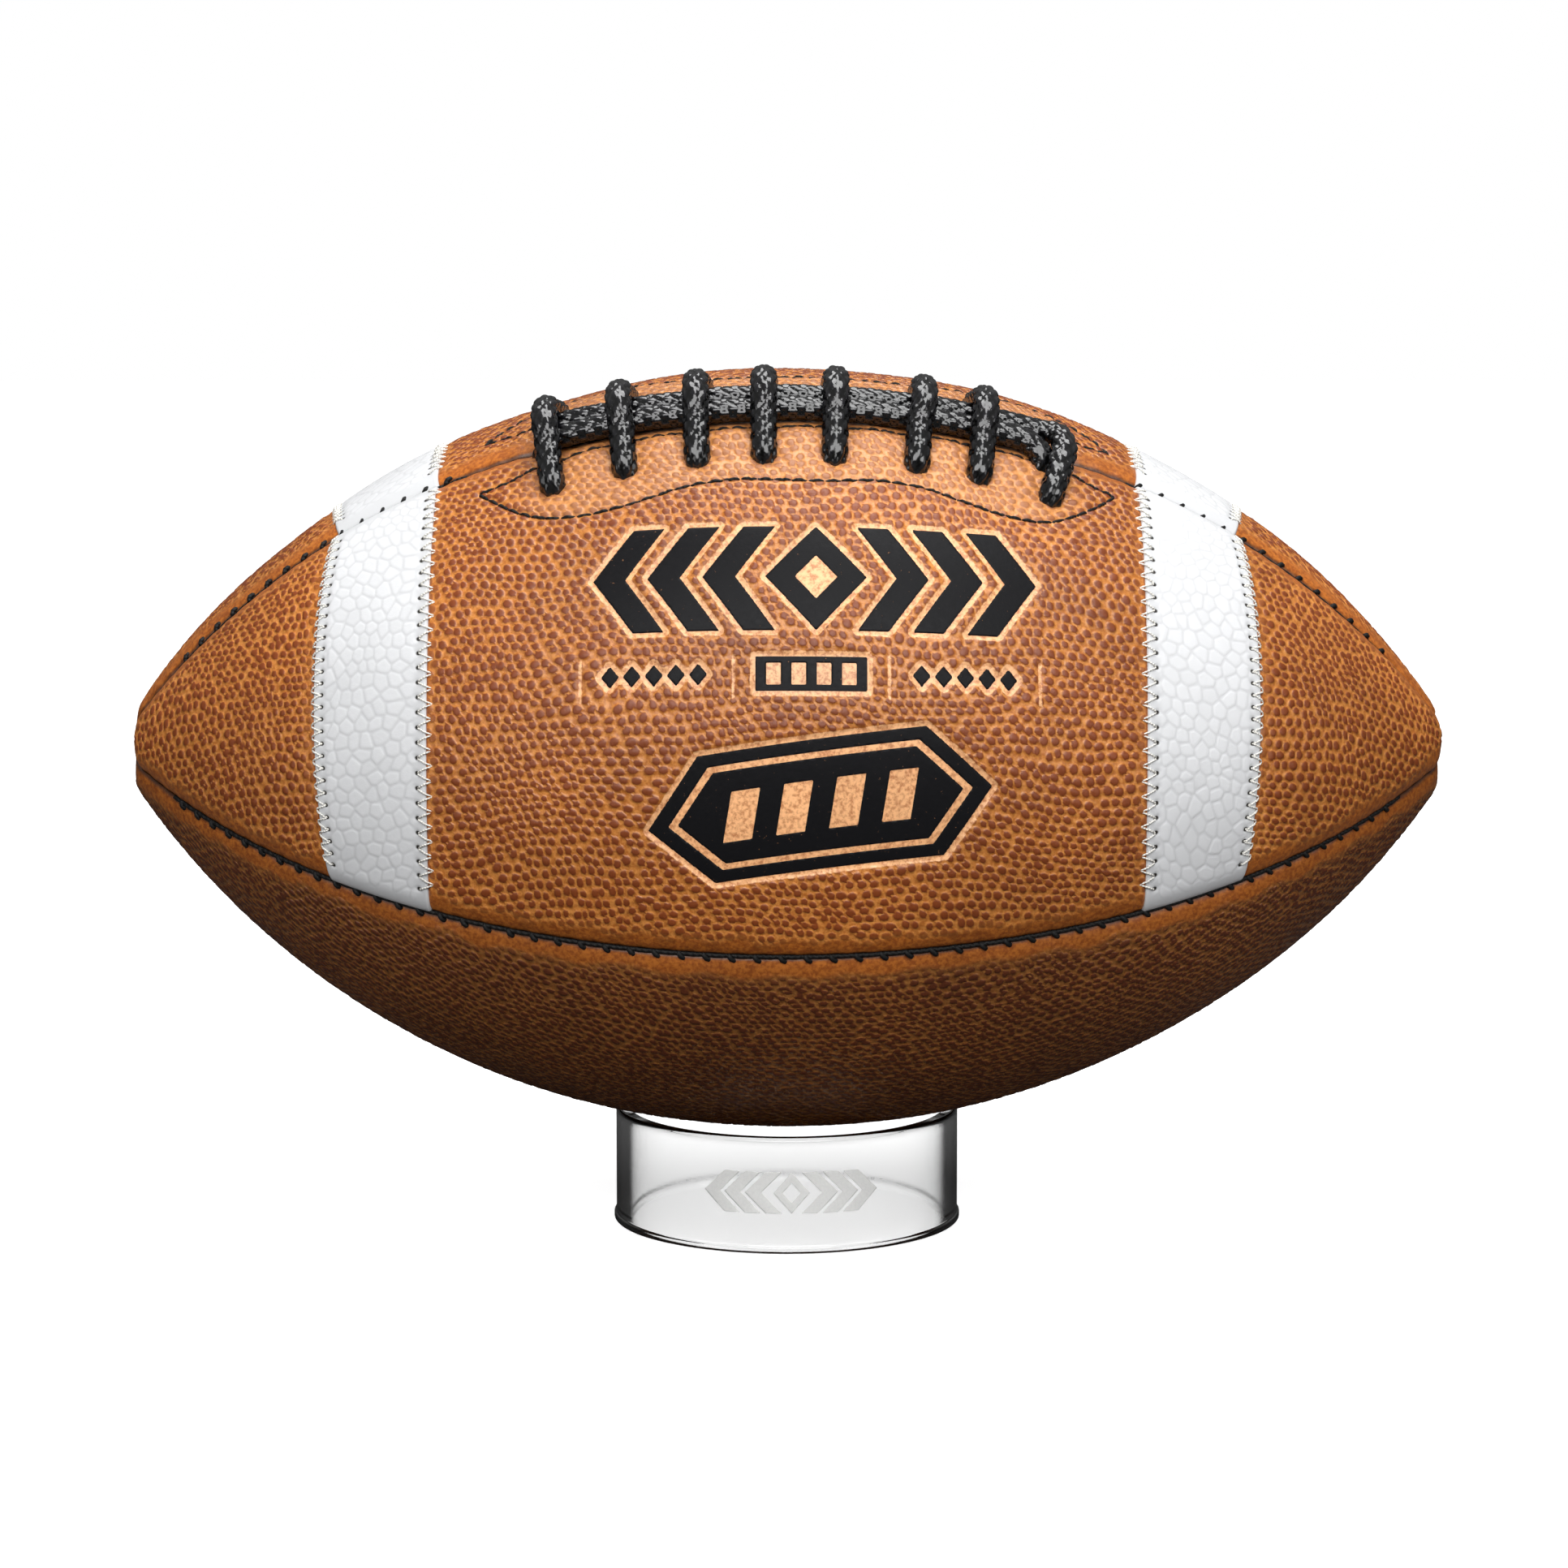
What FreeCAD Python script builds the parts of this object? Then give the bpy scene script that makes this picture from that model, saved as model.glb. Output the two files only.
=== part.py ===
import FreeCAD, Part
import math
import os

# Laced football resting in a clear display ring.
# Millimetres. +Z is up, the origin is the centre of the ring's underside and the ball's long
# axis runs along X. The lacing faces the front (-Y) and upwards.

# ball outside
ball_length = 288.0
ball_diameter = 167.0
nose_half_width = 8.0           # the long outline arc stops this far from the long axis
nose_cap_radius = 55.0          # blunt end of the ball
nose_corner_radius = 6.5        # round between the outline arc and the blunt end

# wall of the ball, from the outside in
leather_thickness = 2.4
lining_thickness = 1.0
bladder_thickness = 0.8
ply_clearance = 0.05            # between two plies that lie on each other

# seams, as angles about the long axis: 0 is straight to the front, 90 is straight up
lace_seam_angle = 66.0
panel_count = 4
seam_gap = 0.2
seam_groove_radius = 1.3
seam_thread_radius = 0.55
seam_thread_end_gap = 10.0      # from the ends of the seam threads to the tips of the ball

# white stripes on the two panels beside the lacing
stripe_inner_x = 75.0
stripe_width = 25.0
stripe_bow = 3.0                # outer edge is this much nearer the middle at the seams
stripe_thickness = 0.8
stripe_recess = 0.45
stripe_clearance = 0.05

# lacing
lace_diameter = 4.8
lace_hole_clearance = 0.6       # radial, round the lace in its holes
loop_count = 7                  # whole loops; the end of the lace makes one more
loop_pitch = 15.0
loop_row_start = -49.4
hole_lateral = 15.5             # from the slit to the holes, round the ball
lace_touch_clearance = 0.1
lace_bend_radius = 3.0
lace_shoulder_radius = 6.0
lace_run_gap = 0.35             # between the facings and the runs inside the ball
end_tuck_length = 12.0

# pieces behind the lacing
facing_thickness = 0.8
facing_length = 142.0
facing_half_width = 28.0
facing_corner_radius = 18.0
lacing_middle_x = 2.0
tongue_thickness = 0.6
tongue_length = 130.0
tongue_half_width = 18.5
tongue_corner_radius = 6.0
bladder_dent_margin = 3.5       # dent in the bladder, beyond the tongue

# inflation valve, in the middle of the rear panel beside the lacing
valve_radius = 4.25
valve_hole_clearance = 0.15
valve_recess = 0.7
valve_length = 15.0
valve_flange_radius = 9.0
valve_insert_radius = 2.6
valve_insert_length = 12.5
needle_bore_radius = 1.0
needle_bore_length = 12.0
valve_fit_clearance = 0.05

# display ring
ring_outer_diameter = 76.2
ring_wall = 3.2
ring_height = 25.4
ring_edge_radius = 0.8
ring_bead_height = 1.5
ring_bead_proud = 0.5
seat_gap = 0.3                  # between the ball and the ring's rim

half_length = ball_length / 2
half_diameter = ball_diameter / 2
arc_rise = half_diameter - nose_half_width
outline_arc_radius = (half_length ** 2 + arc_rise ** 2) / (2 * arc_rise)
arc_centre_drop = outline_arc_radius - half_diameter
cap_centre_x = half_length - nose_cap_radius
lace_radius = lace_diameter / 2
ring_outer_radius = ring_outer_diameter / 2
ring_inner_radius = ring_outer_radius - ring_wall
quarter_turn = 360.0 / panel_count
seam_thread_reach = half_length - seam_thread_end_gap
ply_depth_lining = leather_thickness + ply_clearance
ply_depth_bladder = ply_depth_lining + lining_thickness + ply_clearance
lace_run_depth = ply_depth_lining + facing_thickness + lace_run_gap + lace_radius
x_axis = FreeCAD.Vector(1, 0, 0)
far = ball_length


def outline_radius(x, offset=0.0):
    """Distance from the long axis to the outline arc, moved outwards by offset."""
    return math.sqrt((outline_arc_radius + offset) ** 2 - x * x) - arc_centre_drop


def corner_centre():
    """Centre of the round that joins the outline arc to the blunt end."""
    from_arc = outline_arc_radius - nose_corner_radius
    from_cap = nose_cap_radius - nose_corner_radius
    span = math.hypot(cap_centre_x, arc_centre_drop)
    along = (from_arc ** 2 - from_cap ** 2 + span ** 2) / (2 * span)
    aside = math.sqrt(from_arc ** 2 - along ** 2)
    ux, uz = cap_centre_x / span, arc_centre_drop / span
    return ux * along + uz * aside, -arc_centre_drop + uz * along - ux * aside


def point_on(centre, radius, angle):
    return FreeCAD.Vector(centre[0] + radius * math.cos(angle), 0,
                          centre[1] + radius * math.sin(angle))


def arc_between(centre, radius, start, end):
    first = point_on(centre, radius, start)
    middle = point_on(centre, radius, (start + end) / 2)
    last = point_on(centre, radius, end)
    return Part.Arc(first, middle, last).toShape()


def ball_body(offset):
    """Solid bounded by the ball's surface moved outwards by offset."""
    corner = corner_centre()
    arc_centre = (0.0, -arc_centre_drop)
    cap_centre = (cap_centre_x, 0.0)
    joint_angle = math.atan2(corner[1] + arc_centre_drop, corner[0])
    cap_angle = math.atan2(corner[1], corner[0] - cap_centre_x)
    right = [
        arc_between(corner, nose_corner_radius + offset, joint_angle, cap_angle),
        arc_between(cap_centre, nose_cap_radius + offset, cap_angle, 0.0),
    ]
    left = [edge.mirror(FreeCAD.Vector(), x_axis) for edge in right]
    top = arc_between(arc_centre, outline_arc_radius + offset, math.pi - joint_angle, joint_angle)
    reach = half_length + offset
    axis_line = Part.makeLine(FreeCAD.Vector(-reach, 0, 0), FreeCAD.Vector(reach, 0, 0))
    edges = Part.__sortEdges__([top, axis_line] + right + left)
    return Part.Face(Part.Wire(edges)).revolve(FreeCAD.Vector(), x_axis, 360)


def core_body(offset):
    """Middle of the ball inside the outline arc only, used for depths beyond the nose round."""
    reach = facing_length
    radius = outline_arc_radius + offset
    angle = math.acos(reach / 2 / radius)
    top = arc_between((0.0, -arc_centre_drop), radius, math.pi - angle, angle)
    left, right = top.Vertexes[0].Point, top.Vertexes[1].Point
    foot_left, foot_right = FreeCAD.Vector(left.x, 0, 0), FreeCAD.Vector(right.x, 0, 0)
    sides = [Part.makeLine(right, foot_right), Part.makeLine(foot_right, foot_left),
             Part.makeLine(foot_left, left)]
    return Part.Face(Part.Wire([top] + sides)).revolve(FreeCAD.Vector(), x_axis, 360)


def facing_out(shape, angle):
    """Turn a shape about the long axis so that its +Z points out of the ball at angle."""
    turned = shape.copy()
    turned.rotate(FreeCAD.Vector(), x_axis, 90 - angle)
    return turned


def quadrant(start_angle):
    """Block that one panel's plies lie in, half a seam gap inside both of its seams."""
    half_gap = seam_gap / 2
    block = Part.makeBox(2 * far, far, far, FreeCAD.Vector(-far, half_gap, half_gap))
    return facing_out(block, start_angle)


def seam_tube(angle, radius, depth, start_x, end_x):
    """Round bar that follows the seam at angle, its centre at depth under the surface."""
    bend = outline_arc_radius - depth
    first, last = math.asin(start_x / bend), math.asin(end_x / bend)
    centre = FreeCAD.Vector(0, 0, -arc_centre_drop)
    y_axis = FreeCAD.Vector(0, 1, 0)
    circle = Part.makeCircle(radius, FreeCAD.Vector(0, 0, half_diameter - depth), x_axis)
    section = Part.Face(Part.Wire([circle]))
    section.rotate(centre, y_axis, math.degrees(first))
    return facing_out(section.revolve(centre, y_axis, math.degrees(last - first)), angle)


def patch(length, half_width, corner_radius):
    """Upright block with round corners over the lacing, turned to face out at the lace seam."""
    low = FreeCAD.Vector(lacing_middle_x - length / 2, -half_width, 0)
    block = Part.makeBox(length, 2 * half_width, far, low)
    upright = [e for e in block.Edges if abs(e.Vertexes[0].Z - e.Vertexes[1].Z) > far / 2]
    return facing_out(block.makeFillet(corner_radius, upright), lace_seam_angle)


def hole(x, lateral, radius):
    """Bar through the ball's wall, straight towards the long axis."""
    angle = lace_seam_angle + math.degrees(lateral / outline_radius(x))
    bar = Part.makeCylinder(radius, 4 * lace_run_depth,
                            FreeCAD.Vector(x, 0, outline_radius(x) - 2 * lace_run_depth))
    return facing_out(bar, angle)


def lace_point(x, lateral, offset):
    """Point offset out from the surface, lateral millimetres round the ball from the slit."""
    turn = lateral / outline_radius(x)
    radius = outline_radius(x, offset)
    local = FreeCAD.Vector(x, radius * math.sin(turn), radius * math.cos(turn))
    return FreeCAD.Rotation(x_axis, 90 - lace_seam_angle).multVec(local)


def rounded_path(points, radii):
    """Wire of straight runs joined by tangent arcs, one radius for each inner point."""
    edges, start = [], points[0]
    for before, corner, after, radius in zip(points, points[1:], points[2:], radii):
        back = (before - corner).normalize()
        ahead = (after - corner).normalize()
        half_turn = (math.pi - back.getAngle(ahead)) / 2
        room = 0.45 * min((before - corner).Length, (after - corner).Length)
        radius = min(radius, room / math.tan(half_turn))
        setback = radius * math.tan(half_turn)
        bisector = (back + ahead).normalize()
        middle = corner + bisector * (radius / math.cos(half_turn) - radius)
        arc_start, arc_end = corner + back * setback, corner + ahead * setback
        edges += [Part.LineSegment(start, arc_start).toShape(),
                  Part.Arc(arc_start, middle, arc_end).toShape()]
        start = arc_end
    edges.append(Part.LineSegment(start, points[-1]).toShape())
    return Part.Wire(edges)


# lacing layout, shared by the lace and by the holes that it passes through
loop_xs = [loop_row_start + number * loop_pitch for number in range(loop_count)]
strand_lateral = lace_radius + lace_touch_clearance
strand_height = lace_radius + lace_touch_clearance
shoulder_height = strand_height + lace_diameter + 3 * lace_touch_clearance
shoulder_lateral = lace_radius + strand_lateral / 2
left_end_x = loop_row_start - lace_radius
left_end_lateral = lace_radius + lace_hole_clearance + lace_touch_clearance
last_loop_x = loop_row_start + loop_count * loop_pitch
dive_x = last_loop_x - lace_radius - 1.0
dive_lateral = -hole_lateral + lace_diameter
last_hole_lateral = -hole_lateral - 1.5
hole_entry_height = 0.7 * lace_radius
lace_holes = [(x, side * hole_lateral) for x in loop_xs for side in (-1, 1)]
lace_holes += [(left_end_x, -left_end_lateral), (left_end_x, left_end_lateral)]
lace_holes += [(dive_x, dive_lateral), (last_loop_x, last_hole_lateral)]


def lace_route():
    """Centre points of the one lace, from its tucked left end to its tucked right end."""
    deep = -lace_run_depth
    strand_xs = [left_end_x + 5] + [x + loop_pitch / 2 for x in loop_xs[:-1]]
    route = [(left_end_x - end_tuck_length, -left_end_lateral, deep, 0),
             (left_end_x, -left_end_lateral, deep, lace_bend_radius),
             (left_end_x, -left_end_lateral, strand_height, lace_bend_radius)]
    route += [(x, -strand_lateral, strand_height, far) for x in strand_xs[1:]]
    route += [(dive_x - 4, -strand_lateral, strand_height, lace_shoulder_radius),
              (dive_x, dive_lateral, strand_height, lace_bend_radius),
              (dive_x, dive_lateral, deep, lace_bend_radius)]
    for x in reversed(loop_xs):
        route += [(x, -hole_lateral, deep, lace_bend_radius),
                  (x, -hole_lateral, hole_entry_height, lace_bend_radius),
                  (x, -shoulder_lateral, shoulder_height, lace_shoulder_radius),
                  (x, shoulder_lateral, shoulder_height, lace_shoulder_radius),
                  (x, hole_lateral, hole_entry_height, lace_bend_radius),
                  (x, hole_lateral, deep, lace_bend_radius)]
    route += [(left_end_x, left_end_lateral, deep, lace_bend_radius),
              (left_end_x, left_end_lateral, strand_height, lace_bend_radius)]
    route += [(x, strand_lateral, strand_height, far) for x in strand_xs[1:]]
    route += [(last_loop_x - 6, strand_lateral, strand_height, lace_shoulder_radius),
              (last_loop_x + 3, strand_lateral - 2, strand_height + 1.5, lace_shoulder_radius),
              (last_loop_x + 3, -hole_lateral / 2, strand_height + 2.0, lace_shoulder_radius),
              (last_loop_x, last_hole_lateral, hole_entry_height, lace_bend_radius),
              (last_loop_x, last_hole_lateral, deep, lace_bend_radius),
              (last_loop_x + 1, last_hole_lateral + end_tuck_length, deep, 0)]
    return route


def make_lace():
    route = lace_route()
    points = [lace_point(x, lateral, offset) for x, lateral, offset, _ in route]
    path = rounded_path(points, [radius for *_, radius in route[1:-1]])
    circle = Part.makeCircle(lace_radius, points[0], points[1] - points[0])
    lace = path.makePipeShell([Part.Wire([circle])], True, False)
    swept = math.pi * lace_radius ** 2 * path.Length
    print(f"lace: {path.Length:.0f} mm long, volume is {lace.Volume / swept:.4f} of its sweep")
    return lace


def stripe_block(side, clearance=0.0):
    """Band across the ball that a stripe fills on one panel; its outer edge is bowed."""
    outer_x = stripe_inner_x + stripe_width
    half_chord = outline_radius(outer_x) * math.sin(math.radians(quarter_turn / 2))
    bow_radius = (half_chord ** 2 + stripe_bow ** 2) / (2 * stripe_bow)
    drum = Part.makeCylinder(bow_radius - clearance, far,
                             FreeCAD.Vector(outer_x - bow_radius, 0, 0))
    slab = Part.makeBox(stripe_width, 2 * far, far,
                        FreeCAD.Vector(stripe_inner_x + clearance, -far, 0))
    block = drum.common(slab)
    return block if side > 0 else block.mirror(FreeCAD.Vector(), x_axis)


def make_ball():
    """Every piece of the ball, placed round its own centre."""
    nodes = {}
    leather_hull, recess_hull = ball_body(0), ball_body(-stripe_recess)
    stripe_outer = ball_body(stripe_thickness - stripe_recess)
    stripe_inner = ball_body(-stripe_recess + stripe_clearance)
    leather = leather_hull.cut(ball_body(-leather_thickness))
    lining_outer, bladder_outer = ball_body(-ply_depth_lining), ball_body(-ply_depth_bladder)
    lining_inner = ball_body(-ply_depth_lining - lining_thickness)
    lining = lining_outer.cut(lining_inner)
    bladder_inner = ball_body(-ply_depth_bladder - bladder_thickness)

    facing_patch = patch(facing_length, facing_half_width, facing_corner_radius)
    lining_window = patch(facing_length + 2 * ply_clearance, facing_half_width + ply_clearance,
                          facing_corner_radius)
    tongue_patch = patch(tongue_length, tongue_half_width, tongue_corner_radius)
    dent_patch = patch(tongue_length + 2 * bladder_dent_margin,
                       tongue_half_width + bladder_dent_margin, tongue_corner_radius)
    dent_shell = patch(tongue_length + 2 * (bladder_dent_margin + bladder_thickness),
                       tongue_half_width + bladder_dent_margin + bladder_thickness,
                       tongue_corner_radius + bladder_thickness)

    # a run inside the ball is straight, so in its middle it lies this much deeper
    run_turn = -last_hole_lateral / outline_radius(0)
    run_sag = outline_radius(0) * (1 - math.cos(run_turn))
    tongue_depth = lace_run_depth + run_sag + lace_radius + lace_touch_clearance
    dent_depth = tongue_depth + tongue_thickness + ply_clearance

    hole_radius = lace_radius + lace_hole_clearance
    front_holes = [hole(x, lateral, hole_radius) for x, lateral in lace_holes if lateral < 0]
    rear_holes = [hole(x, lateral, hole_radius) for x, lateral in lace_holes if lateral > 0]
    holes = {"front": front_holes, "top": rear_holes}

    valve_angle = lace_seam_angle + quarter_turn / 2
    valve_hole = facing_out(Part.makeCylinder(valve_radius + valve_hole_clearance, far),
                            valve_angle)
    flange_zone = facing_out(Part.makeCylinder(valve_flange_radius, far), valve_angle)
    flange_hole = facing_out(Part.makeCylinder(valve_flange_radius + valve_hole_clearance, far),
                             valve_angle)

    seams = {"lace": lace_seam_angle, "front": lace_seam_angle - quarter_turn,
             "rear": lace_seam_angle + quarter_turn, "bottom": lace_seam_angle + 2 * quarter_turn}
    groove_reach = seam_thread_reach + 1.0
    grooves = [seam_tube(angle, seam_groove_radius, 0.0, -groove_reach, groove_reach)
               for angle in seams.values()]

    panel_starts = {"front": seams["front"], "top": seams["lace"], "rear": seams["rear"],
                    "bottom": seams["bottom"]}
    for name, start in panel_starts.items():
        zone = quadrant(start)
        panel = leather.common(zone).cut(grooves)
        ply = lining.common(zone)
        if name in holes:
            bands = {}
            for side_name, side in (("left", -1), ("right", 1)):
                band = facing_out(stripe_block(side), start + quarter_turn / 2)
                panel = panel.cut(band.cut(recess_hull))
                inset = facing_out(stripe_block(side, stripe_clearance),
                                   start + quarter_turn / 2)
                bands[side_name] = inset.common(stripe_outer).cut(stripe_inner)
            for side_name, band in bands.items():
                nodes[f"stripe_{name}_{side_name}"] = band.common(zone).cut(grooves)
            facing_layer = lining_outer.cut(ball_body(-ply_depth_lining - facing_thickness))
            facing = facing_layer.common(zone).common(facing_patch)
            nodes[f"lace_facing_{name}"] = facing.cut(holes[name])
            panel = panel.cut(holes[name])
            ply = ply.cut(lining_window)
        if name == "top":
            panel = panel.cut(valve_hole)
            ply = ply.cut(flange_hole)
        nodes[f"{name}_panel"] = panel
        nodes[f"{name}_lining"] = ply

    tongue_layer = core_body(-tongue_depth).cut(core_body(-tongue_depth - tongue_thickness))
    nodes["lace_tongue"] = tongue_layer.common(tongue_patch)
    outside = bladder_outer.cut(dent_patch.cut(core_body(-dent_depth)))
    inside = bladder_inner.cut(dent_shell.cut(core_body(-dent_depth - bladder_thickness)))
    nodes["bladder"] = outside.cut(inside).cut(valve_hole)
    nodes["lace"] = make_lace()

    flange = lining_outer.cut(lining_inner).common(flange_zone)
    stem = Part.makeCylinder(valve_radius, valve_length,
                             FreeCAD.Vector(0, 0, half_diameter - valve_recess - valve_length))
    insert_top = half_diameter - valve_recess
    pocket_length = valve_insert_length + valve_fit_clearance
    pocket = Part.makeCylinder(valve_insert_radius + valve_fit_clearance, pocket_length,
                               FreeCAD.Vector(0, 0, insert_top - pocket_length))
    insert = Part.makeCylinder(valve_insert_radius, valve_insert_length,
                               FreeCAD.Vector(0, 0, insert_top - valve_insert_length))
    needle_bore = Part.makeCylinder(needle_bore_radius, needle_bore_length,
                                    FreeCAD.Vector(0, 0, insert_top - needle_bore_length))
    housing = facing_out(stem, valve_angle).fuse(flange).cut(facing_out(pocket, valve_angle))
    nodes["valve_housing"] = housing
    nodes["valve_insert"] = facing_out(insert.cut(needle_bore), valve_angle)

    thread_depth = seam_groove_radius - seam_thread_radius - ply_clearance
    reach = seam_thread_reach
    lace_left = lacing_middle_x - facing_length / 2
    lace_right = lacing_middle_x + facing_length / 2
    threads = {"front": ("front", -reach, reach), "rear": ("rear", -reach, reach),
               "bottom": ("bottom", -reach, reach), "lace_left": ("lace", -reach, lace_left),
               "lace_right": ("lace", lace_right, reach)}
    for name, (seam, start_x, end_x) in threads.items():
        nodes[f"seam_thread_{name}"] = seam_tube(seams[seam], seam_thread_radius, thread_depth,
                                                 start_x, end_x)
    return nodes


def make_ring():
    """Clear tube with a rounded rim and a small bead round its foot."""
    foot_radius = ring_outer_radius + ring_bead_proud
    tube = Part.makeCylinder(ring_outer_radius, ring_height)
    bead = Part.makeCylinder(foot_radius, ring_bead_height)
    bore = Part.makeCylinder(ring_inner_radius, ring_height)
    ring = tube.fuse(bead).cut(bore).removeSplitter()
    rim = [e for e in ring.Edges if len(e.Vertexes) == 1
           and abs(e.BoundBox.ZMin - ring_height) < 0.01]
    return ring.makeFillet(ring_edge_radius, rim)


def seat_height():
    """Height of the ball's long axis when it rests on the ring's rounded inner rim."""
    rim_x = ring_inner_radius + ring_edge_radius
    rim_z = ring_height - ring_edge_radius
    reach = outline_arc_radius + ring_edge_radius + seat_gap
    return rim_z + math.sqrt(reach ** 2 - rim_x ** 2) - arc_centre_drop


def main():
    nodes = {"display_ring": make_ring()}
    axis_height = seat_height()
    print(f"long axis of the ball is {axis_height:.3f} mm up")
    for name, shape in make_ball().items():
        shape.translate(FreeCAD.Vector(0, 0, axis_height))
        nodes[name] = shape
    os.makedirs("parts", exist_ok=True)
    for name, shape in nodes.items():
        solids = shape.Solids
        print(f"{name}: {len(solids)} solid, {shape.Volume / 1000:.3f} cm3, valid {shape.isValid()}")
        solid = solids[0] if len(solids) == 1 else Part.makeCompound(solids)
        solid.exportStep(f"parts/{name}.step")


main()
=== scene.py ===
import math

import bmesh
import bpy
import numpy as np
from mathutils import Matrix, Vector


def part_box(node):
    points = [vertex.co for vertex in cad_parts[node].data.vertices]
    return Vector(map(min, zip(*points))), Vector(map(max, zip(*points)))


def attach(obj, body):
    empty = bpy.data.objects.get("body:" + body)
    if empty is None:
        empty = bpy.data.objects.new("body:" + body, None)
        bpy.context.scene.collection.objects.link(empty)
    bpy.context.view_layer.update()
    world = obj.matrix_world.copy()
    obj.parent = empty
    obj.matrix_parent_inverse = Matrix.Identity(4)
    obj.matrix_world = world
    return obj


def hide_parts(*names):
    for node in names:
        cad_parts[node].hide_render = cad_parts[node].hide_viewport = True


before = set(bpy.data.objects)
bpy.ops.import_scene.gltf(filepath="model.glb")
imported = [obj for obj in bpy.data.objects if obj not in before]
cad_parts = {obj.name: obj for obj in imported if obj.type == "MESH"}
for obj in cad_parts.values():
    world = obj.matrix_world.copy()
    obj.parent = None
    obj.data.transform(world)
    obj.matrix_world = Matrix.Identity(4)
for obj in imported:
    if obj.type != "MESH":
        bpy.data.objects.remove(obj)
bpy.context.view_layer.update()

mm = 0.001  # everything below is worked out in millimetres and built in metres

# the ball's outline: a long arc, a blunt nose and a small round between them
ball = {
    "noseHalfWidth": 8.0,
    "noseRadius": 55.0,
    "noseCorner": 6.5,
    "laceSeam": 66.0,       # angle about the long axis, 0 is the front and 90 is up
    "leather": 2.4,
    "seamGap": 0.12,
}
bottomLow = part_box("bottom_panel")[0]
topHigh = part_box("top_panel")[1]
axisHeight = (bottomLow.z + topHigh.z) / 2 / mm
ballRadius = (topHigh.z - bottomLow.z) / 2 / mm
halfLength = topHigh.x / mm
arcRise = ballRadius - ball["noseHalfWidth"]
arcRadius = (halfLength ** 2 + arcRise ** 2) / (2 * arcRise)
arcDrop = arcRadius - ballRadius
noseX = halfLength - ball["noseRadius"]
quarter = math.pi / 2


def cornerCentre():
    fromArc = arcRadius - ball["noseCorner"]
    fromNose = ball["noseRadius"] - ball["noseCorner"]
    span = math.hypot(noseX, arcDrop)
    along = (fromArc ** 2 - fromNose ** 2 + span ** 2) / (2 * span)
    aside = math.sqrt(fromArc ** 2 - along ** 2)
    ux, ur = noseX / span, arcDrop / span
    return ux * along + ur * aside, -arcDrop + ur * along - ux * aside


cornerX, cornerR = cornerCentre()
arcEnd = math.atan2(cornerR + arcDrop, cornerX)
noseStart = math.atan2(cornerR, cornerX - noseX)
arcLength = arcRadius * (quarter - arcEnd)
cornerLength = arcLength + ball["noseCorner"] * (arcEnd - noseStart)
halfSpan = cornerLength + ball["noseRadius"] * noseStart  # from the middle to the tip, over the surface


def outline(s):
    # place and normal on the outline, s millimetres from the middle over the surface
    a = np.abs(s)
    onArc, onCorner = a < arcLength, a < cornerLength
    angle = np.where(onArc, quarter - a / arcRadius,
                     np.where(onCorner, arcEnd - (a - arcLength) / ball["noseCorner"],
                              noseStart - (a - cornerLength) / ball["noseRadius"]))
    radius = np.where(onArc, arcRadius,
                      np.where(onCorner, ball["noseCorner"], ball["noseRadius"]))
    centreX = np.where(onArc, 0.0, np.where(onCorner, cornerX, noseX))
    centreR = np.where(onArc, -arcDrop, np.where(onCorner, cornerR, 0.0))
    side = np.where(s < 0, -1.0, 1.0)
    x = side * (centreX + radius * np.cos(angle))
    return x, centreR + radius * np.sin(angle), side * np.cos(angle), np.sin(angle)


def onBall(s, theta, lift):
    # point lift millimetres above the ball's plain surface; theta in radians
    x, r, nx, nr = outline(np.asarray(s, float))
    radius = r + nr * lift
    return np.stack([x + nx * lift, -np.cos(theta) * radius,
                     axisHeight + np.sin(theta) * radius], -1)


def spanAt(x):
    return arcRadius * np.arcsin(np.asarray(x, float) / arcRadius)


def girth(s):
    return outline(np.asarray(s, float))[1]


def pathLengths(points):
    return np.concatenate([[0], np.cumsum(np.linalg.norm(np.diff(points, axis=0), axis=1))])


def smooth(low, high, value):
    t = np.clip((value - low) / (high - low), 0, 1)
    return t * t * (3 - 2 * t)


# mesh helpers
def makeMesh(name, verts, faces, shade=True):
    mesh = bpy.data.meshes.new(name)
    mesh.from_pydata((np.asarray(verts) * mm).tolist(), [], [list(map(int, f)) for f in faces])
    work = bmesh.new()
    work.from_mesh(mesh)
    bmesh.ops.recalc_face_normals(work, faces=work.faces[:])
    work.to_mesh(mesh)
    work.free()
    mesh.polygons.foreach_set("use_smooth", [shade] * len(mesh.polygons))
    piece = bpy.data.objects.new(name, mesh)
    bpy.context.scene.collection.objects.link(piece)
    return piece


def paintOn(piece, name, values):
    layer = piece.data.attributes.new(name, "FLOAT", "POINT")
    layer.data.foreach_set("value", np.asarray(values, np.float32))


def bakeMap(piece, perVertex):
    # one flat map for each piece, given for each vertex
    layer = piece.data.uv_layers.new(name="OFBake")
    corners = np.zeros(len(piece.data.loops), np.int32)
    piece.data.loops.foreach_get("vertex_index", corners)
    layer.data.foreach_set("uv", np.asarray(perVertex, np.float32)[corners].ravel())


def finishPiece(piece, body, slot, material, *nodes):
    piece.data.materials.append(material)
    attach(piece, body)
    if nodes:
        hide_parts(*nodes)
    return piece


def sidesAlong(points):
    # two steady sideways directions at each point of a path
    steps = np.gradient(points, axis=0)
    steps /= np.linalg.norm(steps, axis=1)[:, None]
    side = np.cross(steps[0], [0.3, 0.5, 0.81])
    sides = []
    for step in steps:
        side = side - step * side.dot(step)
        side /= np.linalg.norm(side)
        sides.append(side)
    sides = np.array(sides)
    return sides[:, None], np.cross(steps, sides)[:, None]


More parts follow.
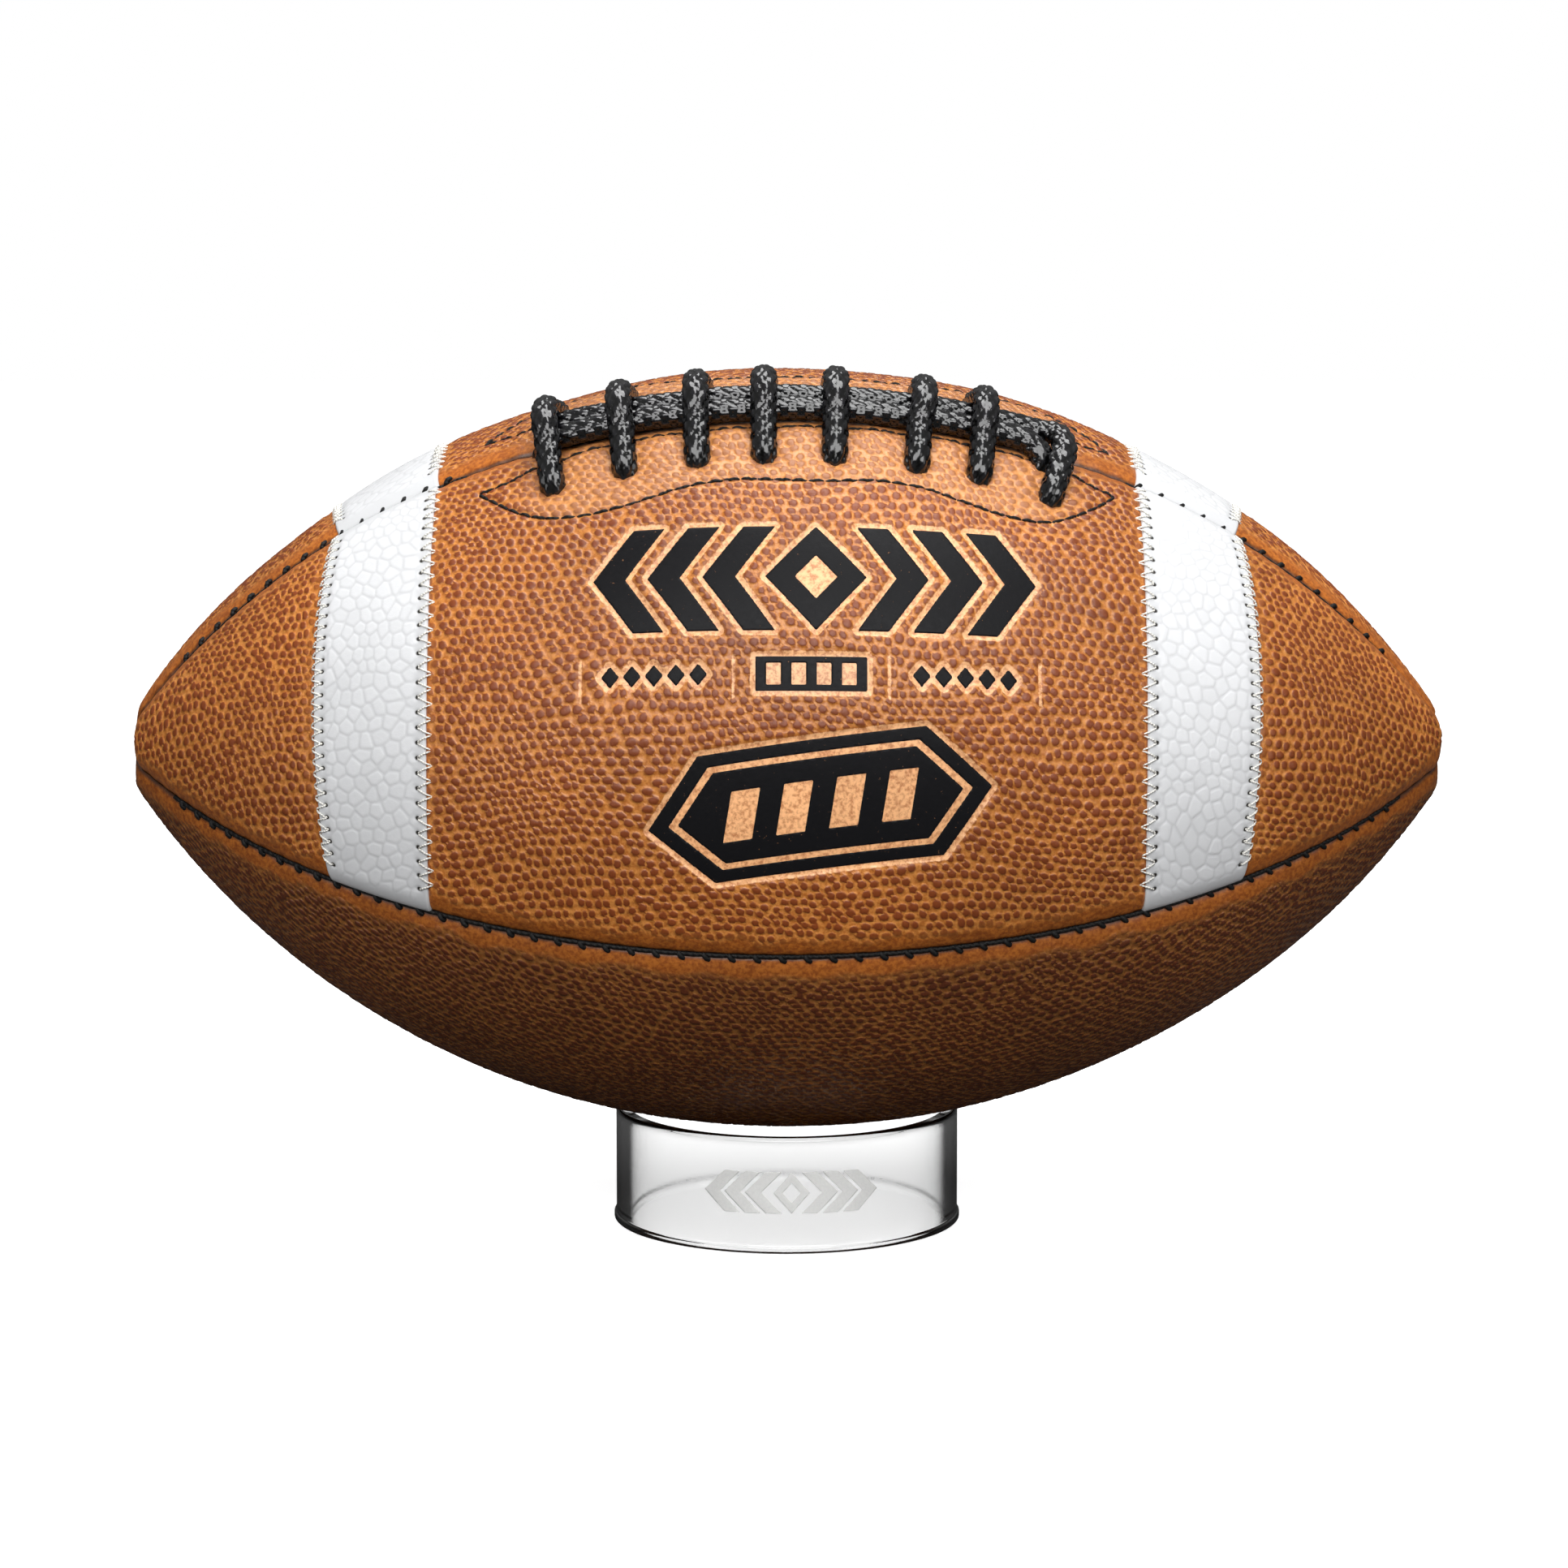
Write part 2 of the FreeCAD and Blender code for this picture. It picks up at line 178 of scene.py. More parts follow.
def tubeRings(points, radii, count):
    # offsets of count points round each point of a path
    side, up = sidesAlong(points)
    turn = np.linspace(0, 2 * math.pi, count, endpoint=False)[:, None]
    return radii[..., None] * (np.cos(turn) * side + np.sin(turn) * up)


def tubeFaces(count, n, first=0):
    # walls and two pointed ends of a tube with count rings of n points
    k = np.arange(n)
    after = (k + 1) % n
    ring = first + np.arange(count - 1)[:, None] * n
    faces = np.stack([ring + k, ring + after, ring + n + after, ring + n + k], -1).reshape(-1, 4).tolist()
    last = first + (count - 1) * n
    faces += np.stack([first + after, first + k, np.full(n, last + n)], 1).tolist()
    faces += np.stack([last + k, last + after, np.full(n, last + n + 1)], 1).tolist()
    return faces


class Tubes:
    # many round threads gathered into one mesh
    def __init__(self, sides):
        self.sides = sides
        self.verts = []
        self.faces = []
        self.along = []
        self.count = 0

    def add(self, points, radius):
        n = self.sides
        rings = points[:, None] + tubeRings(points, np.full((len(points), n), radius), n)
        self.verts += [rings.reshape(-1, 3), points[:1], points[-1:]]
        lengths = pathLengths(points)
        self.along += [np.repeat(lengths, n), lengths[:1], lengths[-1:]]
        self.faces += tubeFaces(len(points), n, self.count)
        self.count += len(points) * n + 2

    def build(self, name):
        piece = makeMesh(name, np.concatenate(self.verts), self.faces)
        paintOn(piece, "along", np.concatenate(self.along))
        return piece


# node helpers
def newMaterial(name):
    material = bpy.data.materials.new(name)
    material.use_nodes = True
    tree = material.node_tree
    tree.nodes.clear()
    output = tree.nodes.new("ShaderNodeOutputMaterial")
    shader = tree.nodes.new("ShaderNodeBsdfPrincipled")
    tree.links.new(shader.outputs["BSDF"], output.inputs["Surface"])
    return material, tree, shader


def attribute(tree, name):
    node = tree.nodes.new("ShaderNodeAttribute")
    node.attribute_name = name
    return node.outputs["Fac"]


def plug(tree, socket, value):
    if hasattr(value, "is_linked"):
        tree.links.new(value, socket)
    elif value is not None:
        socket.default_value = value


def calc(tree, operation, a, b=None, c=None):
    node = tree.nodes.new("ShaderNodeMath")
    node.operation = operation
    for socket, value in zip(node.inputs, (a, b, c)):
        plug(tree, socket, value)
    return node.outputs[0]


def ramp(tree, value, low, high, outLow=0.0, outHigh=1.0):
    node = tree.nodes.new("ShaderNodeMapRange")
    node.interpolation_type = "SMOOTHSTEP"
    plug(tree, node.inputs["Value"], value)
    for socket, number in zip(("From Min", "From Max", "To Min", "To Max"), (low, high, outLow, outHigh)):
        plug(tree, node.inputs[socket], number)
    return node.outputs["Result"]


def mixColour(tree, factor, a, b, blend="MIX"):
    node = tree.nodes.new("ShaderNodeMix")
    node.data_type = "RGBA"
    node.blend_type = blend
    plug(tree, node.inputs["Factor"], factor)
    plug(tree, node.inputs[6], a)
    plug(tree, node.inputs[7], b)
    return node.outputs[2]


def scaleColour(tree, colour, factor):
    node = tree.nodes.new("ShaderNodeVectorMath")
    node.operation = "SCALE"
    tree.links.new(colour, node.inputs[0])
    tree.links.new(factor, node.inputs["Scale"])
    return node.outputs[0]


def place(tree):
    return tree.nodes.new("ShaderNodeTexCoord").outputs["Object"]


def noise(tree, where, scale, detail=3.0, rough=0.5):
    node = tree.nodes.new("ShaderNodeTexNoise")
    plug(tree, node.inputs["Vector"], where)
    plug(tree, node.inputs["Scale"], scale)
    plug(tree, node.inputs["Detail"], detail)
    plug(tree, node.inputs["Roughness"], rough)
    return node.outputs["Fac"]


def bump(tree, height, strength, distance, normal=None):
    node = tree.nodes.new("ShaderNodeBump")
    plug(tree, node.inputs["Height"], height)
    node.inputs["Strength"].default_value = strength
    node.inputs["Distance"].default_value = distance
    if normal is not None:
        tree.links.new(normal, node.inputs["Normal"])
    return node.outputs["Normal"]


def newGroup(name, inputs, outputs):
    group = bpy.data.node_groups.new(name, "ShaderNodeTree")
    for label, kind, default in inputs:
        socket = group.interface.new_socket(label, in_out="INPUT", socket_type=kind)
        if default is not None:
            socket.default_value = default
    for label, kind in outputs:
        group.interface.new_socket(label, in_out="OUTPUT", socket_type=kind)
    return group, group.nodes.new("NodeGroupInput"), group.nodes.new("NodeGroupOutput")


def useGroup(tree, group, **values):
    node = tree.nodes.new("ShaderNodeGroup")
    node.node_tree = group
    for label, value in values.items():
        plug(tree, node.inputs[label], value)
    return node


def dress(tree, shader, colour, roughness, normal, specular=None):
    for label, value in (("Base Color", colour), ("Roughness", roughness), ("Normal", normal),
                         ("Specular IOR Level", specular)):
        plug(tree, shader.inputs[label], value)


def fineGrainGroup():
    # fine leather or rubber grain: a height and a mask of its pores
    group, inp, out = newGroup("fineGrain", [("Scale", "NodeSocketFloat", 900.0)],
                               [("Height", "NodeSocketFloat"), ("Pores", "NodeSocketFloat")])
    where = place(group)
    grain = noise(group, where, inp.outputs["Scale"], 4.0, 0.6)
    coarse = noise(group, where, calc(group, "MULTIPLY", inp.outputs["Scale"], 0.35), 2.0)
    height = calc(group, "ADD", grain, calc(group, "MULTIPLY", coarse, 0.8))
    group.links.new(height, out.inputs["Height"])
    group.links.new(ramp(group, grain, 0.42, 0.3), out.inputs["Pores"])
    return group


def patchyGroup():
    # broad, uneven tone of a dyed or handled surface, around 1
    group, inp, out = newGroup("patchyTone", [("Scale", "NodeSocketFloat", 40.0),
                                              ("Spread", "NodeSocketFloat", 0.3)],
                               [("Tone", "NodeSocketFloat")])
    where = place(group)
    broad = noise(group, where, inp.outputs["Scale"], 3.0, 0.55)
    small = noise(group, where, calc(group, "MULTIPLY", inp.outputs["Scale"], 5.0), 2.0)
    both = calc(group, "ADD", calc(group, "MULTIPLY", broad, 0.7), calc(group, "MULTIPLY", small, 0.3))
    centred = calc(group, "SUBTRACT", both, 0.5)
    tone = calc(group, "ADD", 1.0, calc(group, "MULTIPLY", centred, inp.outputs["Spread"]))
    group.links.new(tone, out.inputs["Tone"])
    return group


def twistGroup():
    # plied thread: slanted strands from the distance along it, in millimetres
    group, inp, out = newGroup("threadTwist", [("Along", "NodeSocketFloat", 0.0),
                                               ("Pitch", "NodeSocketFloat", 1.0)],
                               [("Height", "NodeSocketFloat")])
    where = group.nodes.new("ShaderNodeSeparateXYZ")
    group.links.new(place(group), where.inputs[0])
    slant = calc(group, "MULTIPLY", where.outputs["Z"], 2600.0)
    turns = calc(group, "MULTIPLY", calc(group, "DIVIDE", inp.outputs["Along"], inp.outputs["Pitch"]),
                 2 * math.pi)
    wave = calc(group, "SINE", calc(group, "ADD", turns, slant))
    fuzz = noise(group, place(group), 3500.0, 2.0)
    group.links.new(calc(group, "ADD", wave, fuzz), out.inputs["Height"])
    return group


fineGrain = fineGrainGroup()
patchyTone = patchyGroup()
threadTwist = twistGroup()


# leather panels
valve = {
    "radius": 4.35,
    "depth": -2.1,
}
panelStarts = {
    "front_panel": ball["laceSeam"] - 90,
    "top_panel": ball["laceSeam"],
    "rear_panel": ball["laceSeam"] + 90,
    "bottom_panel": ball["laceSeam"] + 180,
}
leather = {
    "step": 0.62,           # mesh size, millimetres
    "columns": 216,
    "pebblePitch": 2.35,
    "pebbleJitter": 0.5,
    "pebbleHeight": 0.3,
    "bottomShade": 0.48,        # painted shade: the bottom panel's colour is darkened because it faces down, away from the lights
    "lowSquash": 1.3,       # the bottom panel's pebbles are drawn out sideways
    "rollDepth": 1.7,       # how far a panel's edge turns in at a seam
    "rollWidth": 5.0,
    "laceRollDepth": 2.3,
    "laceRollWidth": 8.0,
    "pucker": 0.16,
    "swell": 0.22,
    "stitchPitch": 5.1,
    "pressDepth": 0.3,      # stamped marks
    "hide": [(0.37, 0.108, 0.0125, 1), (0.60, 0.235, 0.05, 1)],     # from dark to light
    "band": [(0.27, 0.063, 0.005, 1), (0.47, 0.14, 0.016, 1)],      # smooth leather along the seams
    "dots": (0.19, 0.037, 0.003, 1),
    "paleAndSheen": (0.8, 0.4, 0.17, 1),     # paler leather beside the lacing, partly painted sheen from the top lights
    "copper": [(0.5, 0.19, 0.07, 1), (0.88, 0.47, 0.22, 1)],        # pressed marks
}
lacing = {
    "pitch": 15.0,          # loop to loop, and where the row starts
    "first": -49.4,
    "loops": 7,
    # how far each loop's front and rear end is out of the even row
    "lean": [0.0, 0.3, 0.6, -0.4, -0.6, 1.7, -0.1],
    "slant": [0.0, -0.4, 0.4, 0.1, 0.0, 1.3, 0.0],
    "holeLateral": 15.8,
    "lastX": 55.7,
    "lastLateral": 17.0,
    "middle": 3.0,
    "halfLength": 54.0,
    "lineDepth": 0.4,       # the stitched line of the facing sinks in
    "lineWidth": 0.75,
    "puff": 0.75,           # the leather swells between the loops
    "holeDip": 1.5,
    "foldDepth": 0.28,
}
stripe = {
    "inner": 75.0,
    "width": 25.0,
    "bow": 3.0,
    "lift": 0.38,
    "rows": 84,
    "columns": 330,
    "pebblePitch": 3.5,
    "pebbleHeight": 0.12,
    "seat": -0.5,           # the panel under it
    "stitchPitch": 3.2,
    "holeInset": 1.9,
    "endGap": 0.08,
    "innerTooth": 1.3,
    "outerTooth": 0.7,
    "threadRadius": 0.2,
    "white": [(0.61, 0.615, 0.625, 1), (0.70, 0.705, 0.717, 1)],    # between pebbles and on them
    # painted shade: the stitch holes in the stripes are painted near black
    "hole": (0.02, 0.016, 0.013, 1),
    "cutEdge": (0.3, 0.22, 0.15, 1),
    "thread": (0.88, 0.86, 0.8, 1),
}


def halfPanel(s, gap=0.0):
    # from a panel's middle line to its edge, round the ball
    return girth(s) * quarter / 2 - gap


def angleOn(name, s, v):
    # angle about the long axis of a place v across from a panel's middle line
    return math.radians(panelStarts[name] + 45) + v / np.maximum(girth(s), 1e-6)


def rollAt(d, width, depth):
    t = np.clip(d / width, 0, 1)
    return -depth * (1 - np.sqrt(1 - (1 - t) ** 2))


def laceZone(s):
    # 1 beside the lacing, 0 along the plain seam
    return 1 - smooth(lacing["halfLength"] + 2, lacing["halfLength"] + 10, np.abs(s - lacing["middle"]))


def edgeRoll(s, d, atLace):
    zone = laceZone(s) if atLace else np.zeros_like(s)
    width = leather["rollWidth"] + zone * (leather["laceRollWidth"] - leather["rollWidth"])
    depth = leather["rollDepth"] + zone * (leather["laceRollDepth"] - leather["rollDepth"])
    room = np.maximum(halfPanel(s), 0.2)
    width = np.minimum(width, 0.8 * room)
    return rollAt(d, width, depth * np.minimum(1, room / 9))


def wander(a, b, seed):
    # slow, smooth wandering between -1 and 1
    rng = np.random.default_rng(seed)
    total = np.zeros(np.broadcast(a, b).shape)
    for wave in range(5):
        fa, fb = rng.uniform(-0.22, 0.22, 2)
        total = total + np.sin(a * fa + b * fb + rng.uniform(0, 6.28))
    return total / 3


def swell(s, v, start):
    # broad unevenness of a filled panel
    return leather["swell"] * wander(s * 0.45, v * 0.45, 40 + int(start))


def pebbles(u, v, pitch, jitter, seed):
    # distance to the nearest and second nearest pebble centre on the flat hide
    rng = np.random.default_rng(seed)
    table = rng.uniform(-1, 1, (256, 256, 2)) * jitter
    tones = rng.uniform(0, 1, (256, 256))
    uu = u + 1.5 * wander(u, v, seed + 1)
    vv = v + 1.5 * wander(u, v, seed + 2)
    rowStep = pitch * math.sqrt(3) / 2
    first = np.full(uu.shape, 1e9)
    second = np.full(uu.shape, 1e9)
    tone = np.zeros(uu.shape)
    row = np.round(vv / rowStep).astype(int)
    for dRow in (-1, 0, 1):
        j = row + dRow
        offset = 0.5 * (j % 2)
        column = np.round(uu / pitch - offset).astype(int)
        for dColumn in (-1, 0, 1):
            i = column + dColumn
            shift = table[i % 256, j % 256]
            distance = np.hypot(uu - (i + offset) * pitch - shift[..., 0], vv - j * rowStep - shift[..., 1])
            nearer = distance < first
            second = np.where(nearer, first, np.minimum(second, distance))
            tone = np.where(nearer, tones[i % 256, j % 256], tone)
            first = np.where(nearer, distance, first)
    return first, second, tone


def stripeOuterX(b):
    return stripe["inner"] + stripe["width"] - stripe["bow"] * b * b


def polygonDistance(points, u, v):
    # signed distance to a polygon, negative inside
    best = np.full(u.shape, 1e9)
    inside = np.zeros(u.shape, bool)
    for (x0, y0), (x1, y1) in zip(points, points[1:] + points[:1]):
        ex, ey = x1 - x0, y1 - y0
        t = np.clip(((u - x0) * ex + (v - y0) * ey) / (ex * ex + ey * ey), 0, 1)
        best = np.minimum(best, np.hypot(u - x0 - t * ex, v - y0 - t * ey))
        if y0 != y1:
            crosses = ((y0 > v) != (y1 > v)) & (u < (x1 - x0) * (v - y0) / (y1 - y0) + x0)
            inside ^= crosses
    return np.where(inside, -best, best)


# plain stamped ornament on the front panel: chevrons and diamonds, places on the flat hide
marks = {
    "middle": 6.0,
    "mainV": 17.2,
    "mainHalf": 12.0,
    "chevronStep": 11.5,
    "lineV": -4.0,
    "tickFrom": -43.0,
    "tickStep": 32.0,
    "badge": (7.0, -31.0),
    "badgeHalf": (36.0, 13.5),
    "badgeTilt": 8.0,
    "halo": 1.1,
    "low": (-52.0, -50.0),      # corners of the sheet that the foil is cut from
    "high": (64.0, 33.0),
    "foilStep": 0.35,
    "foilThick": 0.07,
    "foil": [(0.006, 0.006, 0.007, 1), (0.25, 0.12, 0.05, 1)],      # whole and rubbed away
}


def diamond(u, v, halfU, halfV):
    return [(u - halfU, v), (u, v + halfV), (u + halfU, v), (u, v - halfV)]


def bar(u, v, halfU, halfV, slant=0.0):
    return [(u - halfU - slant, v - halfV), (u + halfU - slant, v - halfV),
            (u + halfU + slant, v + halfV), (u - halfU + slant, v + halfV)]


def chevron(u, v, half, way):
    return [(u + way * 6, v), (u - way * 2.5, v + half), (u - way * 9, v + half),
            (u - way * 0.8, v), (u - way * 9, v - half), (u - way * 2.5, v - half)]


def hexagon(halfU, halfV):
    cut = halfV * 0.9
    return [(-halfU, 0), (-halfU + cut, halfV), (halfU - cut, halfV),
            (halfU, 0), (halfU - cut, -halfV), (-halfU + cut, -halfV)]


def badgePlace(points):
    turn = math.radians(marks["badgeTilt"])
    cu, cv = marks["badge"]
    return [(cu + x * math.cos(turn) - y * math.sin(turn), cv + x * math.sin(turn) + y * math.cos(turn))
            for x, y in points]


def markShapes():
    # black shapes, holes in them, and bare pressed lines
    cu, half = marks["middle"], marks["mainHalf"]
    black = [diamond(cu, marks["mainV"], 10.5, half)]
    for way in (-1, 1):
        black += [chevron(cu + way * (17.5 + k * marks["chevronStep"]), marks["mainV"], half, way)
                  for k in range(3)]
    holes = [diamond(cu, marks["mainV"], 4.4, 5.0)]
    lineV = marks["lineV"]
    for u in (-27.5, 37.0):
        black += [diamond(u + 4.6 * (k - 2), lineV, 1.9, 2.3) for k in range(5)]
    black.append(bar(5.0, lineV, 11.5, 3.6))
    holes += [bar(5.0 + 5.2 * (k - 1.5), lineV, 1.5, 2.3) for k in range(4)]
    ticks = [bar(marks["tickFrom"] + k * marks["tickStep"], lineV - 0.6, 0.35, 4.6) for k in range(4)]
    halfU, halfV = marks["badgeHalf"]
    black.append(badgePlace(hexagon(halfU, halfV)))
    ring = badgePlace(hexagon(halfU - 4.2, halfV - 2.6))
    core = badgePlace(hexagon(halfU - 6.2, halfV - 3.9))
    bars = [badgePlace(bar(11.0 * (k - 1.5), 0, 3.0, 5.2, 1.6)) for k in range(4)]
    return black, holes, ticks, ring, core, bars


def markFields(u, v):
    black, holes, ticks, ring, core, bars = markShapes()
    solid = np.full(u.shape, 1e9)
    for points in black:
        solid = np.minimum(solid, polygonDistance(points, u, v))
    foil = solid
    for points in holes:
        foil = np.maximum(foil, -polygonDistance(points, u, v))
    channel = np.maximum(polygonDistance(ring, u, v), -polygonDistance(core, u, v))
    foil = np.maximum(foil, -channel)
    for points in bars:
        foil = np.maximum(foil, -polygonDistance(points, u, v))
    pressed = solid - marks["halo"]
    for points in ticks:
        pressed = np.minimum(pressed, polygonDistance(points, u, v))
    return foil, pressed


# stitched outline of the facing behind the lacing: span along the seam and distance from it
facingOutline = [(-67, 11), (-61, 18), (-54, 23.8), (-46, 26.6), (-38, 27.2), (-30, 26.2), (-22, 24.2),
                 (-12, 23.2), (0, 23.8), (10, 23.6), (20, 22.4), (29, 22.9), (38, 25), (47, 26.2),
                 (56, 24.6), (64, 18.6), (69.5, 12.5), (71.5, 9.6)]
facingReturn = [(66, 8.6), (58, 7.0), (48, 6.2), (30, 6.0), (0, 6.0), (-30, 6.2), (-48, 7.6), (-58, 9.8)]


def throughPoints(points, step, closed=False):
    # even points on a smooth curve through the given ones
    p = np.asarray(points, float)
    if closed:
        p = np.concatenate([p[-1:], p, p[:2]])
    else:
        p = np.concatenate([2 * p[:1] - p[1:2], p, 2 * p[-1:] - p[-2:-1]])
    out = []
    t = np.linspace(0, 1, 24, endpoint=False)[:, None]
    for a, b, c, d in zip(p, p[1:], p[2:], p[3:]):
        out.append(0.5 * (2 * b + (c - a) * t + (2 * a - 5 * b + 4 * c - d) * t ** 2
                          + (3 * b - a - 3 * c + d) * t ** 3))
    curve = np.concatenate(out + [p[-2:-1]])
    lengths = pathLengths(curve)
    even = np.linspace(0, lengths[-1], max(2, int(round(lengths[-1] / step)) + 1))
    return np.stack([np.interp(even, lengths, curve[:, k]) for k in range(p.shape[1])], 1)


def facingLine(step):
    # two smooth runs that meet in a point at each end
    lower = throughPoints(facingOutline, step)
    upper = throughPoints([facingOutline[-1]] + facingReturn + [facingOutline[0]], step)
    return [lower, upper]


laceHoles = [(lacing["first"] + k * lacing["pitch"] + lean, lacing["holeLateral"])
             for k, lean in enumerate(lacing["lean"])]
frontHoles = laceHoles + [(lacing["lastX"], lacing["lastLateral"])]
topHoles = [(x + slant, q) for (x, q), slant in zip(laceHoles, lacing["slant"])]


def lacingLift(s, q, holes):
    # folds, stitched line and holes beside the lacing; q is the distance from the slit
    lift = np.zeros(s.shape)
    near = (np.abs(s - lacing["middle"]) < 80) & (q < 34)
    sn, qn = s[near], q[near]
    line = np.concatenate(facingLine(0.5))
    closest = np.full(sn.shape, 1e9)
    for x, y in line:
        closest = np.minimum(closest, (sn - x) ** 2 + (qn - y) ** 2)
    closest = np.sqrt(closest)
    local = -lacing["lineDepth"] * np.exp(-(closest / lacing["lineWidth"]) ** 2)
    zone = laceZone(sn)
    phase = (sn - lacing["first"]) / lacing["pitch"]
    between = 0.5 - 0.5 * np.cos(2 * math.pi * phase)
    local += zone * between * lacing["puff"] * np.exp(-((qn - 9.0) / 4.0) ** 2)
    for x, y in holes:
        ds, dq = sn - spanAt(x), qn - y
        away = np.hypot(ds, dq)
        folds = 0.5 + 0.5 * np.cos(5 * np.arctan2(dq, ds) + x)
        local -= lacing["holeDip"] * np.exp(-(away / 2.6) ** 2)
        local -= lacing["foldDepth"] * folds * np.exp(-((away - 4.2) / 1.8) ** 2)
    lift[near] = local
    # mask inside the facing outline, where the colour is paled: partly the facing's lighter leather, partly
    # painted sheen
    inside = np.zeros(s.shape)
    edge = np.interp(sn, [p[0] for p in facingOutline], [p[1] for p in facingOutline])
    fromMiddle = np.abs(sn - lacing["middle"])
    inside[near] = (1 - smooth(edge - 2.0, edge + 2.5, qn)) * (1 - smooth(50, 66, fromMiddle))
    return lift, inside


def panelRows():
    count = int(round(2 * halfSpan / leather["step"] / 2)) * 2
    s = np.linspace(-halfSpan, halfSpan, count + 1)
    share = girth(s) / ballRadius
    columns = np.where(share > 0.56, leather["columns"],
                       np.where(share > 0.27, leather["columns"] // 2, leather["columns"] // 4))
    columns[0] = columns[-1] = 0
    return s, columns


def sheetFaces(columns):
    # faces between rows; a row's count may halve or double, and 0 is a single point
    starts = np.concatenate([[0], np.cumsum(columns + 1)])
    faces = []

    def join(*corners):
        faces.extend(np.stack(np.broadcast_arrays(*corners), 1).tolist())

    for a, b, na, nb in zip(starts, starts[1:], columns, columns[1:]):
        j = np.arange(min(na, nb) or max(na, nb))
        if na == 0:
            join(a, b + j + 1, b + j)
        elif nb == 0:
            join(a + j, a + j + 1, b)
        elif na == nb:
            join(a + j, a + j + 1, b + j + 1, b + j)
        elif na > nb:
            join(a + 2 * j, a + 2 * j + 1, b + j)
            join(a + 2 * j + 1, b + j + 1, b + j)
            join(a + 2 * j + 1, a + 2 * j + 2, b + j + 1)
        else:
            join(a + j, b + 2 * j + 1, b + 2 * j)
            join(a + j, a + j + 1, b + 2 * j + 1)
            join(a + j + 1, b + 2 * j + 2, b + 2 * j + 1)
    return faces, starts


def sheetPlaces(s, columns):
    sAll = np.concatenate([np.full(n + 1, value) for value, n in zip(s, columns)])
    tAll = np.concatenate([np.linspace(-1, 1, n + 1) if n else np.zeros(1) for n in columns])
    return sAll, tAll


def panelShape(name, s, v):
    # surface of a panel at span s and v across from its middle line: lift and masks for its colours
    start = panelStarts[name]
    halfWidth = np.maximum(halfPanel(s, ball["seamGap"] / 2), 0)
    lowSide, highSide = halfWidth + v, halfWidth - v
    laceSide = {"front_panel": highSide, "top_panel": lowSide}.get(name)
    lift = edgeRoll(s, lowSide, name == "top_panel") + edgeRoll(s, highSide, name == "front_panel")
    d = np.minimum(lowSide, highSide)
    pull = np.exp(-(d / 2.4) ** 2) * (0.5 + 0.5 * np.cos(2 * math.pi * s / leather["stitchPitch"]))
    lift += swell(s, v, start) - leather["pucker"] * pull
    seed = 100 + int(start)
    squash = leather["lowSquash"] if name == "bottom_panel" else 1.0
    nearest, second, tone = pebbles(s, v * squash, leather["pebblePitch"], leather["pebbleJitter"], seed)
    border = second - nearest
    pebbled = smooth(2.2, 6.5, d + 1.0 * wander(s * 3, v * 3, seed + 9))
    pressed = np.full(s.shape, 9.0)
    inside = np.zeros(s.shape)
    if laceSide is not None:
        lacingShape, inside = lacingLift(s, laceSide, frontHoles if name == "front_panel" else topHoles)
        lift += lacingShape
        x = np.abs(outline(s)[0])
        b = np.clip(v / np.maximum(halfWidth, 1e-6), -1, 1)
        under = np.minimum(x - stripe["inner"], stripeOuterX(b) - x)
        beside = np.exp(-((under + 1.2) / 0.9) ** 2)
        lift += smooth(-0.15, 0.5, under) * stripe["seat"] - 0.1 * beside
        pebbled *= (1 - smooth(-0.6, 0.0, under)) * (1 - 0.35 * beside)
    if name == "top_panel":
        hole = 1 - smooth(valve["radius"] - 0.5, valve["radius"] + 0.3, np.hypot(s, v))
        lift += hole * (valve["depth"] - lift)
        pebbled *= 1 - smooth(0.0, 0.3, hole)
    if name == "front_panel":
        near = (np.abs(s - marks["middle"]) < 60) & (v > -50) & (v < 34)
        pressed[near] = markFields(s[near], v[near])[1]
        down = 1 - smooth(-0.5, 0.35, pressed + 0.25 * wander(s * 6, v * 6, 77))
        lift -= leather["pressDepth"] * down
        pebbled *= 1 - down
    height = smooth(0.0, 1.15, border) * (0.8 + 0.4 * tone)
    lift += leather["pebbleHeight"] * height * pebbled
    dotEdge = np.minimum(border, 1.3 * (1.3 - nearest)) - 0.5 + 0.25 * (tone - 0.5)
    return {"lift": lift, "dotEdge": dotEdge, "pebbled": pebbled, "pressed": -pressed,
            "paleFacingAndSheen": inside, "seamNear": d}


def onPanel(name, s, v, extra=0.0):
    # point on a panel's finished surface, or extra millimetres above it
    s, v = np.asarray(s, float), np.asarray(v, float)
    return onBall(s, angleOn(name, s, v), panelShape(name, s, v)["lift"] + extra)


